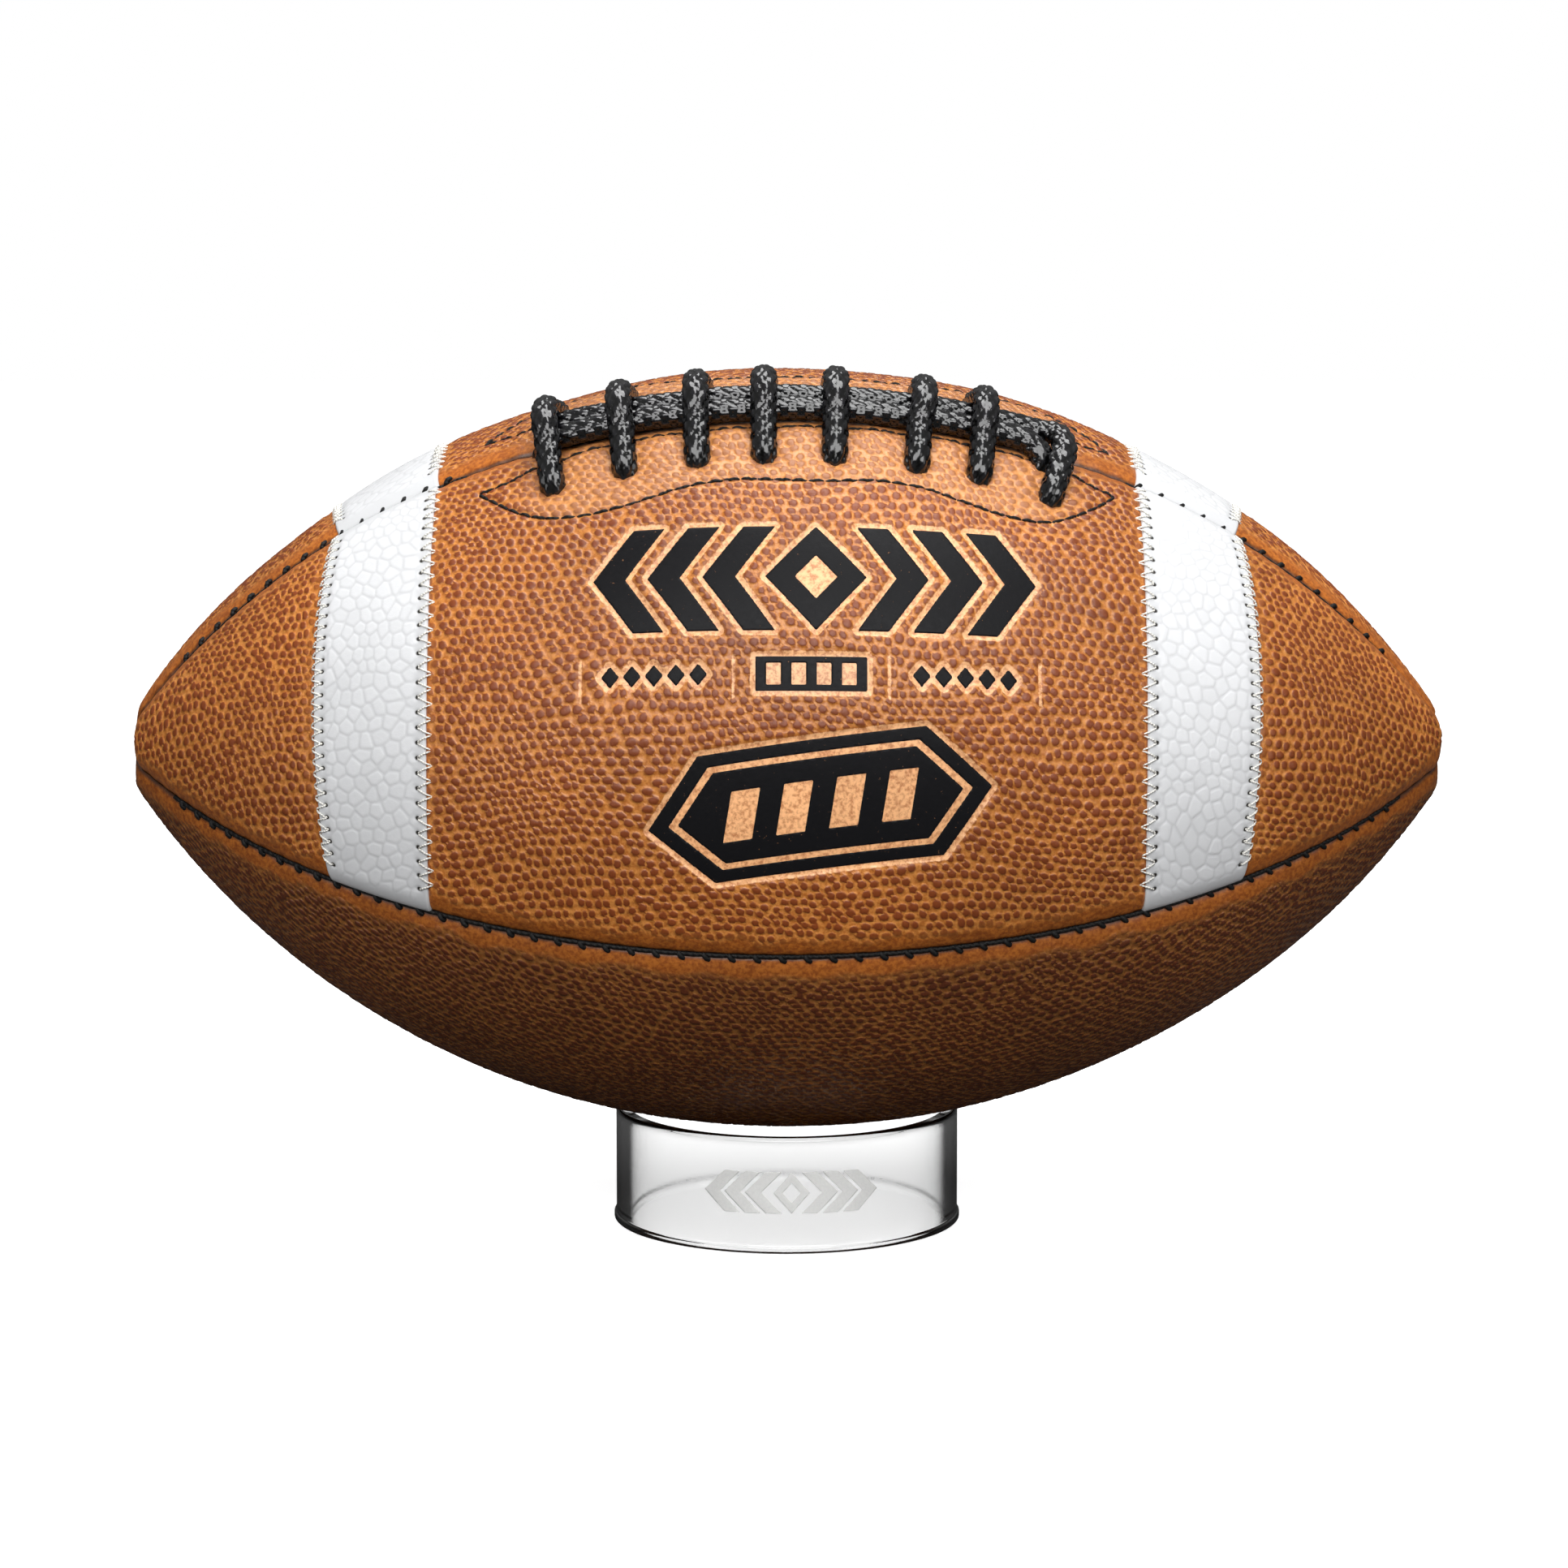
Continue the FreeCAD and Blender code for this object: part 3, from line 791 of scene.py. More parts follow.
def makePanel(name, material):
    s, columns = panelRows()
    sAll, tAll = sheetPlaces(s, columns)
    faces, starts = sheetFaces(columns)
    v = tAll * np.maximum(halfPanel(sAll, ball["seamGap"] / 2), 0)
    shape = panelShape(name, sAll, v)
    outer = onPanel(name, sAll, v)

    innerColumns = np.where(columns > 0, 6, 0)
    sIn, tIn = sheetPlaces(s, innerColumns)
    vIn = tIn * np.maximum(halfPanel(sIn, ball["seamGap"] / 2), 0)
    inner = onBall(sIn, angleOn(name, sIn, vIn), np.full(sIn.shape, -ball["leather"]))
    innerFaces, innerStarts = sheetFaces(innerColumns)
    total = len(outer)
    faces = [face[::-1] for face in faces]
    faces += [[total + i for i in face] for face in innerFaces]
    for k in range(len(s) - 1):
        a, b = starts[k], starts[k + 1]
        c, e = total + innerStarts[k], total + innerStarts[k + 1]
        faces.append([a, b, e, c])
        a, b = a + columns[k], b + columns[k + 1]
        c, e = c + innerColumns[k], e + innerColumns[k + 1]
        faces.append([a, c, e, b])
    piece = makeMesh(name + "_leather", np.concatenate([outer, inner]), faces)
    for label, hidden in (("dotEdge", 0), ("pebbled", 0), ("pressed", -9), ("paleFacingAndSheen", 0), ("seamNear", 9)):
        paintOn(piece, label, np.concatenate([shape[label], np.full(len(inner), float(hidden))]))
    flat = np.stack([(sAll / halfSpan + 1) / 2, 0.45 + 0.45 * tAll], 1)
    flatIn = np.stack([(sIn / halfSpan + 1) / 2, 0.96 + 0.03 * tIn], 1)
    bakeMap(piece, np.concatenate([flat, flatIn]))
    return finishPiece(piece, "ball", "pebbled_leather", material, name)


def leatherMaterial(name, depth):
    material, tree, shader = newMaterial(name)
    where = place(tree)
    patchy = useGroup(tree, patchyTone, Scale=20.0, Spread=0.95).outputs["Tone"]
    grain = useGroup(tree, fineGrain, Scale=1500.0)
    fuzz = noise(tree, where, 1100.0, 3.0, 0.65)
    edge = calc(tree, "ADD", attribute(tree, "dotEdge"),
                calc(tree, "MULTIPLY", calc(tree, "SUBTRACT", fuzz, 0.5), 0.55))
    dots = calc(tree, "MULTIPLY", ramp(tree, edge, -0.2, 0.2), attribute(tree, "pebbled"))
    hide = mixColour(tree, ramp(tree, fuzz, 0.3, 0.7), *leather["hide"])
    smoothBand = mixColour(tree, ramp(tree, fuzz, 0.35, 0.65), *leather["band"])
    band = ramp(tree, attribute(tree, "pebbled"), 0.75, 0.1)
    hide = mixColour(tree, band, hide, smoothBand)
    dotted = mixColour(tree, dots, hide, leather["dots"])
    # painted sheen: inside the facing outline the colour is mixed toward pale orange, partly for the
    # facing's lighter leather
    pale = mixColour(tree, 0.42, dotted, leather["paleAndSheen"])
    colour = mixColour(tree, calc(tree, "MULTIPLY", attribute(tree, "paleFacingAndSheen"), 0.6), dotted, pale)
    copper = mixColour(tree, ramp(tree, fuzz, 0.3, 0.62), *leather["copper"])
    pressed = ramp(tree, calc(tree, "ADD", attribute(tree, "pressed"),
                              calc(tree, "MULTIPLY", calc(tree, "SUBTRACT", fuzz, 0.5), 0.5)), -0.12, 0.12)
    colour = mixColour(tree, pressed, colour, copper)
    shadowy = ramp(tree, attribute(tree, "seamNear"), 1.3, 0.2, 1.0, 0.22)
    # painted shade: a depth below 1 darkens the colour as a shaded copy for the underside, less on the
    # smooth band along the seams
    paintedBottomShade = ramp(tree, band, 0, 1, depth, depth + 0.6 * (1 - depth))
    tone = calc(tree, "MULTIPLY", calc(tree, "MULTIPLY", patchy, shadowy), paintedBottomShade)
    rough = calc(tree, "ADD", ramp(tree, dots, 0, 1, 0.36, 0.46),
                 calc(tree, "MULTIPLY", grain.outputs["Pores"], 0.2))
    fine = bump(tree, grain.outputs["Height"], 0.35, 0.00012)
    rise = calc(tree, "MULTIPLY", ramp(tree, attribute(tree, "dotEdge"), -0.45, 0.35),
                attribute(tree, "pebbled"))
    dress(tree, shader, scaleColour(tree, colour, tone), rough, bump(tree, rise, 0.6, 0.0003, fine), 0.5)
    return material


print("panels: cutting and embossing four leather panels")
leatherFinish = leatherMaterial("pebbledLeather", 1.0)
# painted shade: a darker copy of the leather for the bottom panel, which faces away from the lights
shadedBottomFinish = leatherMaterial("shadedBottomLeather", leather["bottomShade"])
for name in panelStarts:
    makePanel(name, shadedBottomFinish if name == "bottom_panel" else leatherFinish)


# white stripes and their stitching
def closedSheet(name, top, bottom):
    # a thin closed solid from two grids of points with the same outline
    rows, columns = top.shape[:2]
    total = rows * columns
    index = np.arange(total).reshape(rows, columns)
    upper = np.stack([index[:-1, :-1], index[1:, :-1], index[1:, 1:], index[:-1, 1:]], -1).reshape(-1, 4)
    rim = np.concatenate([index[0, :-1], index[:-1, -1], index[-1, :0:-1], index[:0:-1, 0]])
    after = np.roll(rim, -1)
    sides = np.stack([after, rim, rim + total, after + total], -1)
    faces = upper.tolist() + (upper[:, ::-1] + total).tolist() + sides.tolist()
    return makeMesh(name, np.concatenate([top.reshape(-1, 3), bottom.reshape(-1, 3)]), faces)


def stitchHoles(edge):
    # places across the panel, as shares of its half width, where the thread goes in
    count = int(2 * halfPanel(spanAt(edge), 4) / stripe["stitchPitch"])
    return np.linspace(-1, 1, count + 2)[1:-1] * (1 - 1.5 / count)


def makeStripe(panel, side, material):
    start = panelStarts[panel]
    across = np.linspace(0, 1, stripe["rows"])[:, None]
    b = np.linspace(-1, 1, stripe["columns"])[None, :]
    inner = stripe["inner"] + 0 * b
    x = inner + across * (stripeOuterX(b) - inner)
    s = side * spanAt(x)
    halfWidth = halfPanel(s, stripe["endGap"])
    v = b * halfWidth
    theta = angleOn(panel, s, v)
    toSeam = halfWidth - np.abs(v)
    toEdge = np.minimum(x - inner, stripeOuterX(b) - x)
    d = np.minimum(toEdge, toSeam + 0.4)
    nearest, second, tone = pebbles(s, v, stripe["pebblePitch"], 0.95, 300 + int(start) + side)
    raised = smooth(0.0, 0.9, second - nearest) * (0.55 + 0.45 * tone)
    raised *= smooth(1.6, 3.6, toEdge) * smooth(1.5, 5.0, toSeam)
    rounded = 1 - np.clip(d / 0.5, 0, 1)
    roll = edgeRoll(s, toSeam + 0.2, False)
    lift = stripe["lift"] - 0.6 * (1 - np.sqrt(1 - rounded ** 2)) + roll
    lift += stripe["pebbleHeight"] * raised + swell(s, v, start)
    away = np.full(s.shape, 9.0)
    for inset, row in ((stripe["holeInset"], inner), (-stripe["holeInset"], stripeOuterX(b))):
        share = stitchHoles(stripe["inner"])
        nearestShare = share[np.abs(b[0][:, None] - share).argmin(1)][None, :]
        away = np.minimum(away, np.hypot(x - row - inset, (b - nearestShare) * halfWidth))
    lift -= 0.4 * np.exp(-(away / 0.55) ** 2)
    top = onBall(s, theta, lift)
    bottom = onBall(s, theta, np.minimum(lift - 0.25, stripe["seat"] - 0.1 + roll))
    label = panel.split("_")[0]
    end = "left" if side < 0 else "right"
    piece = closedSheet(f"stripe_{label}_{end}_leather", top, bottom)
    for name, values in (("away", away), ("raised", raised), ("toEdge", d)):
        paintOn(piece, name, np.concatenate([values.ravel(), np.full(values.size, 9.0)]))
    return finishPiece(piece, "ball", "stripe_leather", material, f"stripe_{label}_{end}")


def stripeMaterial():
    material, tree, shader = newMaterial("stripeLeather")
    patchy = useGroup(tree, patchyTone, Scale=60.0, Spread=0.16).outputs["Tone"]
    grain = useGroup(tree, fineGrain, Scale=1700.0)
    raised = ramp(tree, attribute(tree, "raised"), 0.1, 0.8)
    body = mixColour(tree, raised, *stripe["white"])
    # painted shade: near black in the stitch holes
    hole = ramp(tree, attribute(tree, "away"), 0.62, 0.34)
    body = mixColour(tree, hole, body, stripe["hole"])
    cut = ramp(tree, attribute(tree, "toEdge"), 0.16, 0.0)
    body = mixColour(tree, calc(tree, "MULTIPLY", cut, 0.35), body, stripe["cutEdge"])
    dress(tree, shader, scaleColour(tree, body, patchy), ramp(tree, raised, 0, 1, 0.55, 0.42),
          bump(tree, grain.outputs["Height"], 0.25, 0.0001), 0.3)
    return material


def threadMaterial(name, colour, roughness, pitch, shadow):
    material, tree, shader = newMaterial(name)
    twist = useGroup(tree, threadTwist, Along=attribute(tree, "along"), Pitch=pitch).outputs["Height"]
    dark = tuple(shadow * part for part in colour[:3]) + (1,)
    body = mixColour(tree, ramp(tree, twist, -0.4, 1.2), dark, colour)
    dress(tree, shader, body, roughness, bump(tree, twist, 0.6, 0.00012), 0.25)
    return material


def makeZigzag(panel, side, material):
    # teeth of light thread over both cut edges of a stripe
    threads = Tubes(6)
    for way, outer in ((-1, False), (1, True)):
        tooth = stripe["outerTooth"] if outer else stripe["innerTooth"]
        share = stitchHoles(stripe["inner"])
        points = []
        for k, b in enumerate(share):
            edge = stripeOuterX(b) if outer else stripe["inner"]
            step = share[1] - share[0]
            places = [(-stripe["holeInset"], 0, -0.35), (-stripe["holeInset"] + 0.4, 0.06, 0.55),
                      (-0.2, 0.3, 0.5), (0.4 * tooth, 0.4, 0.12), (tooth, 0.5, -0.3)]
            places += [(out, 1 - along, lift) for out, along, lift in places[-2:0:-1]]
            for out, along, lift in places:
                t = b + along * step
                if abs(t) < 0.985:
                    x = edge + way * out
                    s = side * spanAt(x)
                    half = halfPanel(s)
                    roll = edgeRoll(np.array([s]), np.array([half * (1 - abs(t))]), False)[0]
                    points.append((s, t * half, lift + roll))
        s, v, lift = np.array(points, float).T
        base = swell(s, v, panelStarts[panel])
        threads.add(onBall(s, angleOn(panel, s, v), lift + base), stripe["threadRadius"])
    piece = threads.build(f"stripe_thread_{panel.split('_')[0]}_{'left' if side < 0 else 'right'}")
    return finishPiece(piece, "ball", "stripe_leather", material)


print("stripes: four white stripes with zigzag stitching")
stripeFinish = stripeMaterial()
zigzagFinish = threadMaterial("stripeThread", stripe["thread"], 0.6, 0.7, 0.8)
for panel in ("front_panel", "top_panel"):
    for side in (-1, 1):
        makeStripe(panel, side, stripeFinish)
        makeZigzag(panel, side, zigzagFinish)


# black thread in the seams and round the facing behind the lacing
seamThread = {
    "reach": 134.0,
    "radius": 0.5,
    "lift": -1.05,
    "pitch": 5.3,
    "knotRadius": 0.54,
    # along the seam, across it and above the ball
    "knot": [(-0.5, 0.3, -1.4), (-0.2, -0.1, -0.85), (0.2, -0.6, -0.62), (0.7, -1.05, -0.8),
             (0.95, -1.3, -1.4)],
    "laceLift": -1.5,       # the thread lies deeper in the seam with the lacing
    "facingPitch": 3.5,
    "facingRadius": 0.36,
    "laceEnds": (-69.0, 73.0),
    "black": (0.007, 0.0065, 0.0065, 1),
}


def makeSeamThread(name, angle, low, high, way, material):
    threads = Tubes(10)
    a, b = spanAt(low), spanAt(high)
    s = np.linspace(a, b, int((b - a) / 0.8))
    theta = np.full(s.shape, math.radians(angle))
    depth = seamThread["laceLift"] if way < 0 else seamThread["lift"]
    threads.add(onBall(s, theta, depth + 0.08 * np.sin(s * 2 * math.pi / seamThread["pitch"])),
                seamThread["radius"])
    for at in np.arange(a + 3, b - 3, seamThread["pitch"]):
        knot = seamThread["knot"]
        ks = np.array([at + p[0] for p in knot])
        turn = np.array([way * p[1] for p in knot]) / girth(ks)
        threads.add(onBall(ks, math.radians(angle) + turn, np.array([p[2] for p in knot])),
                    seamThread["knotRadius"])
    return finishPiece(threads.build(name + "_cord"), "ball", "thread_black", material, name)


def makeFacingStitches(material):
    threads = Tubes(8)
    for panel, side in (("front_panel", 1), ("top_panel", -1)):
        for line in facingLine(seamThread["facingPitch"]):
            for (s0, q0), (s1, q1) in zip(line[:-1], line[1:]):
                t = np.linspace(0.04, 0.96, 7)
                s = s0 + (s1 - s0) * t
                q = q0 + (q1 - q0) * t
                v = side * halfPanel(s, q)
                arch = 0.62 * np.sqrt(np.sin(math.pi * t)) - 0.5
                threads.add(onPanel(panel, s, v, arch), seamThread["facingRadius"])
    return finishPiece(threads.build("facing_stitching"), "ball", "thread_black", material)


print("seams: threads, knots and the stitched outline beside the lacing")
blackThread = threadMaterial("blackThread", seamThread["black"], 0.6, 1.3, 0.55)
reach = seamThread["reach"]
leftEnd, rightEnd = seamThread["laceEnds"]
laceSeam = ball["laceSeam"]
for name, angle, low, high, way in (
        ("seam_thread_front", laceSeam - 90, -reach, reach, 1),
        ("seam_thread_rear", laceSeam + 90, -reach, reach, 1),
        ("seam_thread_bottom", laceSeam + 180, -reach, reach, 1),
        ("seam_thread_lace_left", laceSeam, -reach, leftEnd, -1),
        ("seam_thread_lace_right", laceSeam, rightEnd, reach, -1)):
    makeSeamThread(name, angle, low, high, way, blackThread)
makeFacingStitches(blackThread)


# foil ornament stamped into the front panel
def foilSheet(name, field, place3d, low, high, step, thick):
    # closed thin solid wherever field is negative, its edge drawn onto the zero line
    u = np.arange(low[0], high[0], step)
    v = np.arange(low[1], high[1], step)
    uu, vv = np.meshgrid(u, v, indexing="ij")
    value = field(uu, vv)
    keep = (value[:-1, :-1] + value[1:, :-1] + value[1:, 1:] + value[:-1, 1:]) < 0
    gu, gv = np.gradient(value, step)
    size = np.maximum(np.hypot(gu, gv), 0.3)
    pull = np.where(np.abs(value) < step, np.clip(value, -0.45 * step, 0.45 * step), 0) / size ** 2
    uu, vv = uu - pull * gu, vv - pull * gv
    index = np.arange(u.size * v.size).reshape(u.size, v.size)
    # a corner shared by two cells that only touch there would not be a solid
    a, b, c, d = keep[:-1, :-1], keep[1:, :-1], keep[1:, 1:], keep[:-1, 1:]
    cross = (a & c & ~b & ~d) | (b & d & ~a & ~c)
    keep[1:, 1:] |= cross
    keep[:-1, :-1] |= cross
    keep[1:, :-1] |= cross
    keep[:-1, 1:] |= cross
    cells = np.stack([index[:-1, :-1], index[1:, :-1], index[1:, 1:], index[:-1, 1:]], -1)[keep]
    edges = np.concatenate([cells[:, [k, (k + 1) % 4]] for k in range(4)])
    both = {tuple(edge) for edge in edges.tolist()}
    rim = [(p, q) for p, q in both if (q, p) not in both]
    total = index.size
    faces = cells.tolist() + (cells[:, ::-1] + total).tolist()
    faces += [[q, p, p + total, q + total] for p, q in rim]
    used = np.unique(cells)
    remap = np.full(2 * total, -1)
    remap[used] = np.arange(used.size)
    remap[used + total] = np.arange(used.size) + used.size
    uf, vf = uu.ravel()[used], vv.ravel()[used]
    verts = np.concatenate([place3d(uf, vf, thick), place3d(uf, vf, -thick * 2)])
    return makeMesh(name, verts, [[remap[i] for i in face] for face in faces])


def foilMaterial():
    material, tree, shader = newMaterial("stampedFoil")
    where = place(tree)
    specks = noise(tree, where, 1300.0, 3.0, 0.7)
    wear = ramp(tree, specks, 0.68, 0.76)
    body = mixColour(tree, wear, *marks["foil"])
    grain = useGroup(tree, fineGrain, Scale=1400.0)
    dress(tree, shader, body, ramp(tree, specks, 0.2, 0.8, 0.3, 0.55),
          bump(tree, grain.outputs["Height"], 0.4, 0.00012), 0.1)
    return material


print("marks: plain stamped chevrons, diamonds and a bare badge")
foil = foilSheet("stamped_foil", lambda u, v: markFields(u, v)[0],
                 lambda s, v, extra: onPanel("front_panel", s, v, extra),
                 marks["low"], marks["high"], marks["foilStep"], marks["foilThick"])
finishPiece(foil, "ball", "thread_black", foilMaterial())


# the lace: one cord, from its tucked left end round every hole to its tucked right end
cordShape = {
    "radius": 2.75,
    "flatten": 0.15,        # how much thinner than wide
    "sides": 48,
    "step": 0.34,
    "deep": -6.0,
    "strandLateral": 2.7,
    "strandHeight": 2.6,
    "slitX": -51.8,
    "slitLateral": 3.1,
    "diveX": 54.3,
    "diveLateral": 7.2,
    "tuck": 12.0,
    "scalePitch": 3.6,
    "scaleTurns": 7,
    "scaleHeight": 0.46,
    "black": [(0.001, 0.001, 0.001, 1), (0.006, 0.006, 0.0075, 1)],     # between scales and on them; the grooves are painted darker as shade
}


def lacePoints():
    # along the seam, across it (negative to the front) and above the ball
    deep, high, aside = cordShape["deep"], cordShape["strandHeight"], cordShape["strandLateral"]
    slitX, slitQ = cordShape["slitX"], cordShape["slitLateral"]
    diveX, diveQ = cordShape["diveX"], cordShape["diveLateral"]
    frontXs = [x for x, q in laceHoles]
    rearXs = [x for x, q in topHoles]
    points = [(slitX - cordShape["tuck"], -slitQ, deep), (slitX - 3, -slitQ, deep),
              (slitX, -slitQ, deep + 2.5), (slitX + 0.2, -slitQ, -0.8), (slitX + 2.6, -aside, high - 0.4)]
    for x in np.arange(-44.0, 46.0, 7.5):
        points.append((x, -aside + 0.12 * math.sin(x), high + 0.1 * math.cos(0.4 * x)))
    points += [(46.5, -aside, high), (50.6, -3.4, high), (diveX - 0.9, -diveQ + 1.8, high - 1.2),
               (diveX, -diveQ, -1.6), (diveX - 1, -diveQ, deep + 0.8)]
    for k in reversed(range(lacing["loops"])):
        front, rear, q = frontXs[k], rearXs[k], lacing["holeLateral"]
        middle = (front + rear) / 2
        points += [(front + 0.4, -q + 0.6, deep + 0.4), (front, -q - 0.4, -2.4), (front, -q + 0.9, 0.7),
                   (front, -11.6, 2.3), (front, -7.2, 4.3), (middle, -3.6, 7.0), (middle, 0.0, 7.75),
                   (middle, 3.6, 7.0), (rear, 7.2, 4.3), (rear, 11.6, 2.3), (rear, q - 0.9, 0.7),
                   (rear, q + 0.4, -2.4), (rear, q - 0.6, deep + 0.4)]
        if k:
            points.append(((rear + frontXs[k - 1]) / 2, 0.0, deep - 0.3))
    points += [(slitX + 0.5, 8.0, deep), (slitX, slitQ, deep + 2.5), (slitX + 0.2, slitQ, -0.8),
               (slitX + 2.6, aside, high - 0.4)]
    for x in np.arange(-44.0, 47.0, 7.5):
        points.append((x, aside + 0.12 * math.cos(x), high + 0.1 * math.sin(0.4 * x + 1)))
    lastX, lastQ = lacing["lastX"], lacing["lastLateral"]
    points += [(52.5, aside - 0.3, high + 0.2), (56.4, 0.8, high + 1.3), (57.6, -3.8, high + 1.4),
               (57.1, -8.4, high + 0.6), (56.3, -12.8, 1.8), (lastX, -lastQ + 1.0, 0.5),
               (lastX, -lastQ - 0.4, -2.4), (lastX + 1, -lastQ + 0.4, deep + 0.2),
               (lastX + 3 + cordShape["tuck"] / 2, -lastQ + 3, deep)]
    return np.array(points, float)


def laceMesh():
    path = throughPoints(lacePoints(), cordShape["step"])
    s, q, lift = spanAt(path[:, 0]), path[:, 1], path[:, 2]
    theta = math.radians(ball["laceSeam"]) + q / girth(s)
    centre = onBall(s, theta, lift)
    n, count = cordShape["sides"], len(centre)
    angles = np.linspace(0, 2 * math.pi, n, endpoint=False)
    lengths = pathLengths(centre)
    phase = 2 * math.pi * lengths[:, None] / cordShape["scalePitch"]
    rise = (0.5 * np.abs(np.cos(phase) + np.cos(cordShape["scaleTurns"] * angles))) ** 0.6
    offset = tubeRings(centre, cordShape["radius"] + cordShape["scaleHeight"] * (rise - 0.6), n)
    outward = (onBall(s, theta, lift + 1.0) - centre)[:, None]
    offset -= cordShape["flatten"] * (offset * outward).sum(-1, keepdims=True) * outward
    verts = np.concatenate([(centre[:, None] + offset).reshape(-1, 3), centre[:1], centre[-1:]])
    piece = makeMesh("lace_cord", verts, tubeFaces(count, n))
    paintOn(piece, "along", np.concatenate([np.repeat(lengths, n), lengths[:1], lengths[-1:]]))
    paintOn(piece, "around", np.concatenate([np.tile(angles, count), [0, 0]]))
    paintOn(piece, "rise", np.concatenate([rise.ravel(), [1, 1]]))
    return piece


def laceMaterial():
    material, tree, shader = newMaterial("laceCord")
    where = place(tree)
    fuzz = noise(tree, where, 2400.0, 3.0, 0.6)
    dust = noise(tree, where, 260.0, 3.0, 0.5)
    # painted shade: the lace is darkened in the grooves between its scales
    body = mixColour(tree, ramp(tree, attribute(tree, "rise"), 0.3, 1.0), *cordShape["black"])
    fibres = calc(tree, "SINE", calc(tree, "ADD", calc(tree, "MULTIPLY", attribute(tree, "along"), 9.0),
                                     calc(tree, "MULTIPLY", attribute(tree, "around"), 12.0)))
    dress(tree, shader, body, ramp(tree, dust, 0.35, 0.7, 0.13, 0.2),
          bump(tree, calc(tree, "ADD", fibres, fuzz), 0.07, 0.00005), 0.7)
    return material


print("lace: one cord through every hole")
finishPiece(laceMesh(), "ball", "lace_black", laceMaterial(), "lace")


# the clear ring and its etched mark
ring = {
    "wall": 3.2,
    "edge": 0.9,
    "beadHeight": 1.5,
    "beadProud": 0.5,
    "segments": 256,
    "etchMiddle": (1.0, 13.5),
    "etchLow": (-19.0, 6.0),
    "etchHigh": (21.0, 21.0),
    "etchStep": 0.22,
    "etchThick": 0.02,
    "clear": [(0.985, 0.99, 0.99, 1), (1.0, 1.0, 1.0, 1)],
    "frost": [(0.66, 0.66, 0.65, 1), (0.82, 0.82, 0.8, 1)],
}
ringLow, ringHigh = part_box("display_ring")
ringOuter = (ringHigh.x - ringLow.x) / 2 / mm - ring["beadProud"]
ringHeight = ringHigh.z / mm
ringInner = ringOuter - ring["wall"]


def roundedEnd(centreR, centreZ, radius, start, end, steps=6):
    turn = np.radians(np.linspace(start, end, steps))
    return [(centreR + radius * math.cos(a), centreZ + radius * math.sin(a)) for a in turn]


def makeRing():
    edge, bead, proud = ring["edge"], ring["beadHeight"], ring["beadProud"]
    profile = [(ringInner, 0.0), (ringOuter + proud - 0.3, 0.0)]
    profile += roundedEnd(ringOuter + proud - 0.3, 0.3, 0.3, -60, 0, 4)
    profile += roundedEnd(ringOuter + proud - 0.4, bead - 0.4, 0.4, 0, 80, 5)
    profile += [(ringOuter + 0.02, bead + 0.1), (ringOuter, bead + 0.5)]
    profile += [(ringOuter, z) for z in np.linspace(bead + 2, ringHeight - edge - 1, 8)]
    profile += roundedEnd(ringOuter - edge, ringHeight - edge, edge, 0, 90)
    profile += roundedEnd(ringInner + edge * 0.7, ringHeight - edge * 0.7, edge * 0.7, 90, 180)
    profile += [(ringInner, z) for z in np.linspace(ringHeight - edge - 1, 1.0, 8)]
    n, count = ring["segments"], len(profile)
    turn = np.linspace(0, 2 * math.pi, n, endpoint=False)[:, None]
    r = np.array([p[0] for p in profile])[None, :]
    z = np.array([p[1] for p in profile])[None, :] + 0 * turn
    verts = np.stack([r * np.cos(turn), r * np.sin(turn), z], -1).reshape(-1, 3)
    index = np.arange(n * count).reshape(n, count)
    nextTurn, nextPoint = np.roll(index, -1, 0), np.roll(index, -1, 1)
    faces = np.stack([index, nextTurn, np.roll(nextTurn, -1, 1), nextPoint], -1).reshape(-1, 4).tolist()
    return makeMesh("clear_ring", verts, faces)


def acrylicMaterial():
    material, tree, shader = newMaterial("clearAcrylic")
    where = place(tree)
    smudge = noise(tree, where, 70.0, 4.0, 0.6)
    scratch = tree.nodes.new("ShaderNodeMapping")
    scratch.inputs["Scale"].default_value = (40.0, 40.0, 900.0)
    tree.links.new(where, scratch.inputs["Vector"])
    lines = noise(tree, scratch.outputs["Vector"], 6.0, 4.0, 0.7)
    clear = mixColour(tree, smudge, *ring["clear"])
    shader.inputs["Transmission Weight"].default_value = 1.0
    shader.inputs["IOR"].default_value = 1.49
    dress(tree, shader, clear, ramp(tree, smudge, 0.45, 0.75, 0.015, 0.07), bump(tree, lines, 0.08, 0.00006))
    return material


def etchField(u, z):
    cu, cz = ring["etchMiddle"]
    shapes = [diamond(cu, cz, 4.0, 4.6)]
    for way in (-1, 1):
        shapes += [chevron(cu + way * (7.0 + 4.6 * k), cz, 4.6, way * 0.55) for k in range(3)]
    value = np.full(u.shape, 1e9)
    for points in shapes:
        value = np.minimum(value, polygonDistance(points, u, z))
    return np.maximum(value, -polygonDistance(diamond(cu, cz, 1.9, 2.2), u, z))


def onRing(u, z, extra):
    turn = u / ringOuter
    radius = ringOuter + 0.05 + extra
    return np.stack([radius * np.sin(turn), -radius * np.cos(turn), z], -1)


def etchMaterial():
    material, tree, shader = newMaterial("etchedMark")
    frost = noise(tree, place(tree), 1800.0, 3.0, 0.6)
    body = mixColour(tree, frost, *ring["frost"])
    dress(tree, shader, body, ramp(tree, frost, 0.3, 0.7, 0.5, 0.7), bump(tree, frost, 0.3, 0.00005))
    return material


print("ring: clear stand with a plain etched mark")
finishPiece(makeRing(), "stand", "clear_acrylic", acrylicMaterial(), "display_ring")
etch = foilSheet("etched_mark", etchField, onRing, ring["etchLow"], ring["etchHigh"],
                 ring["etchStep"], ring["etchThick"])
finishPiece(etch, "stand", "clear_acrylic", etchMaterial())


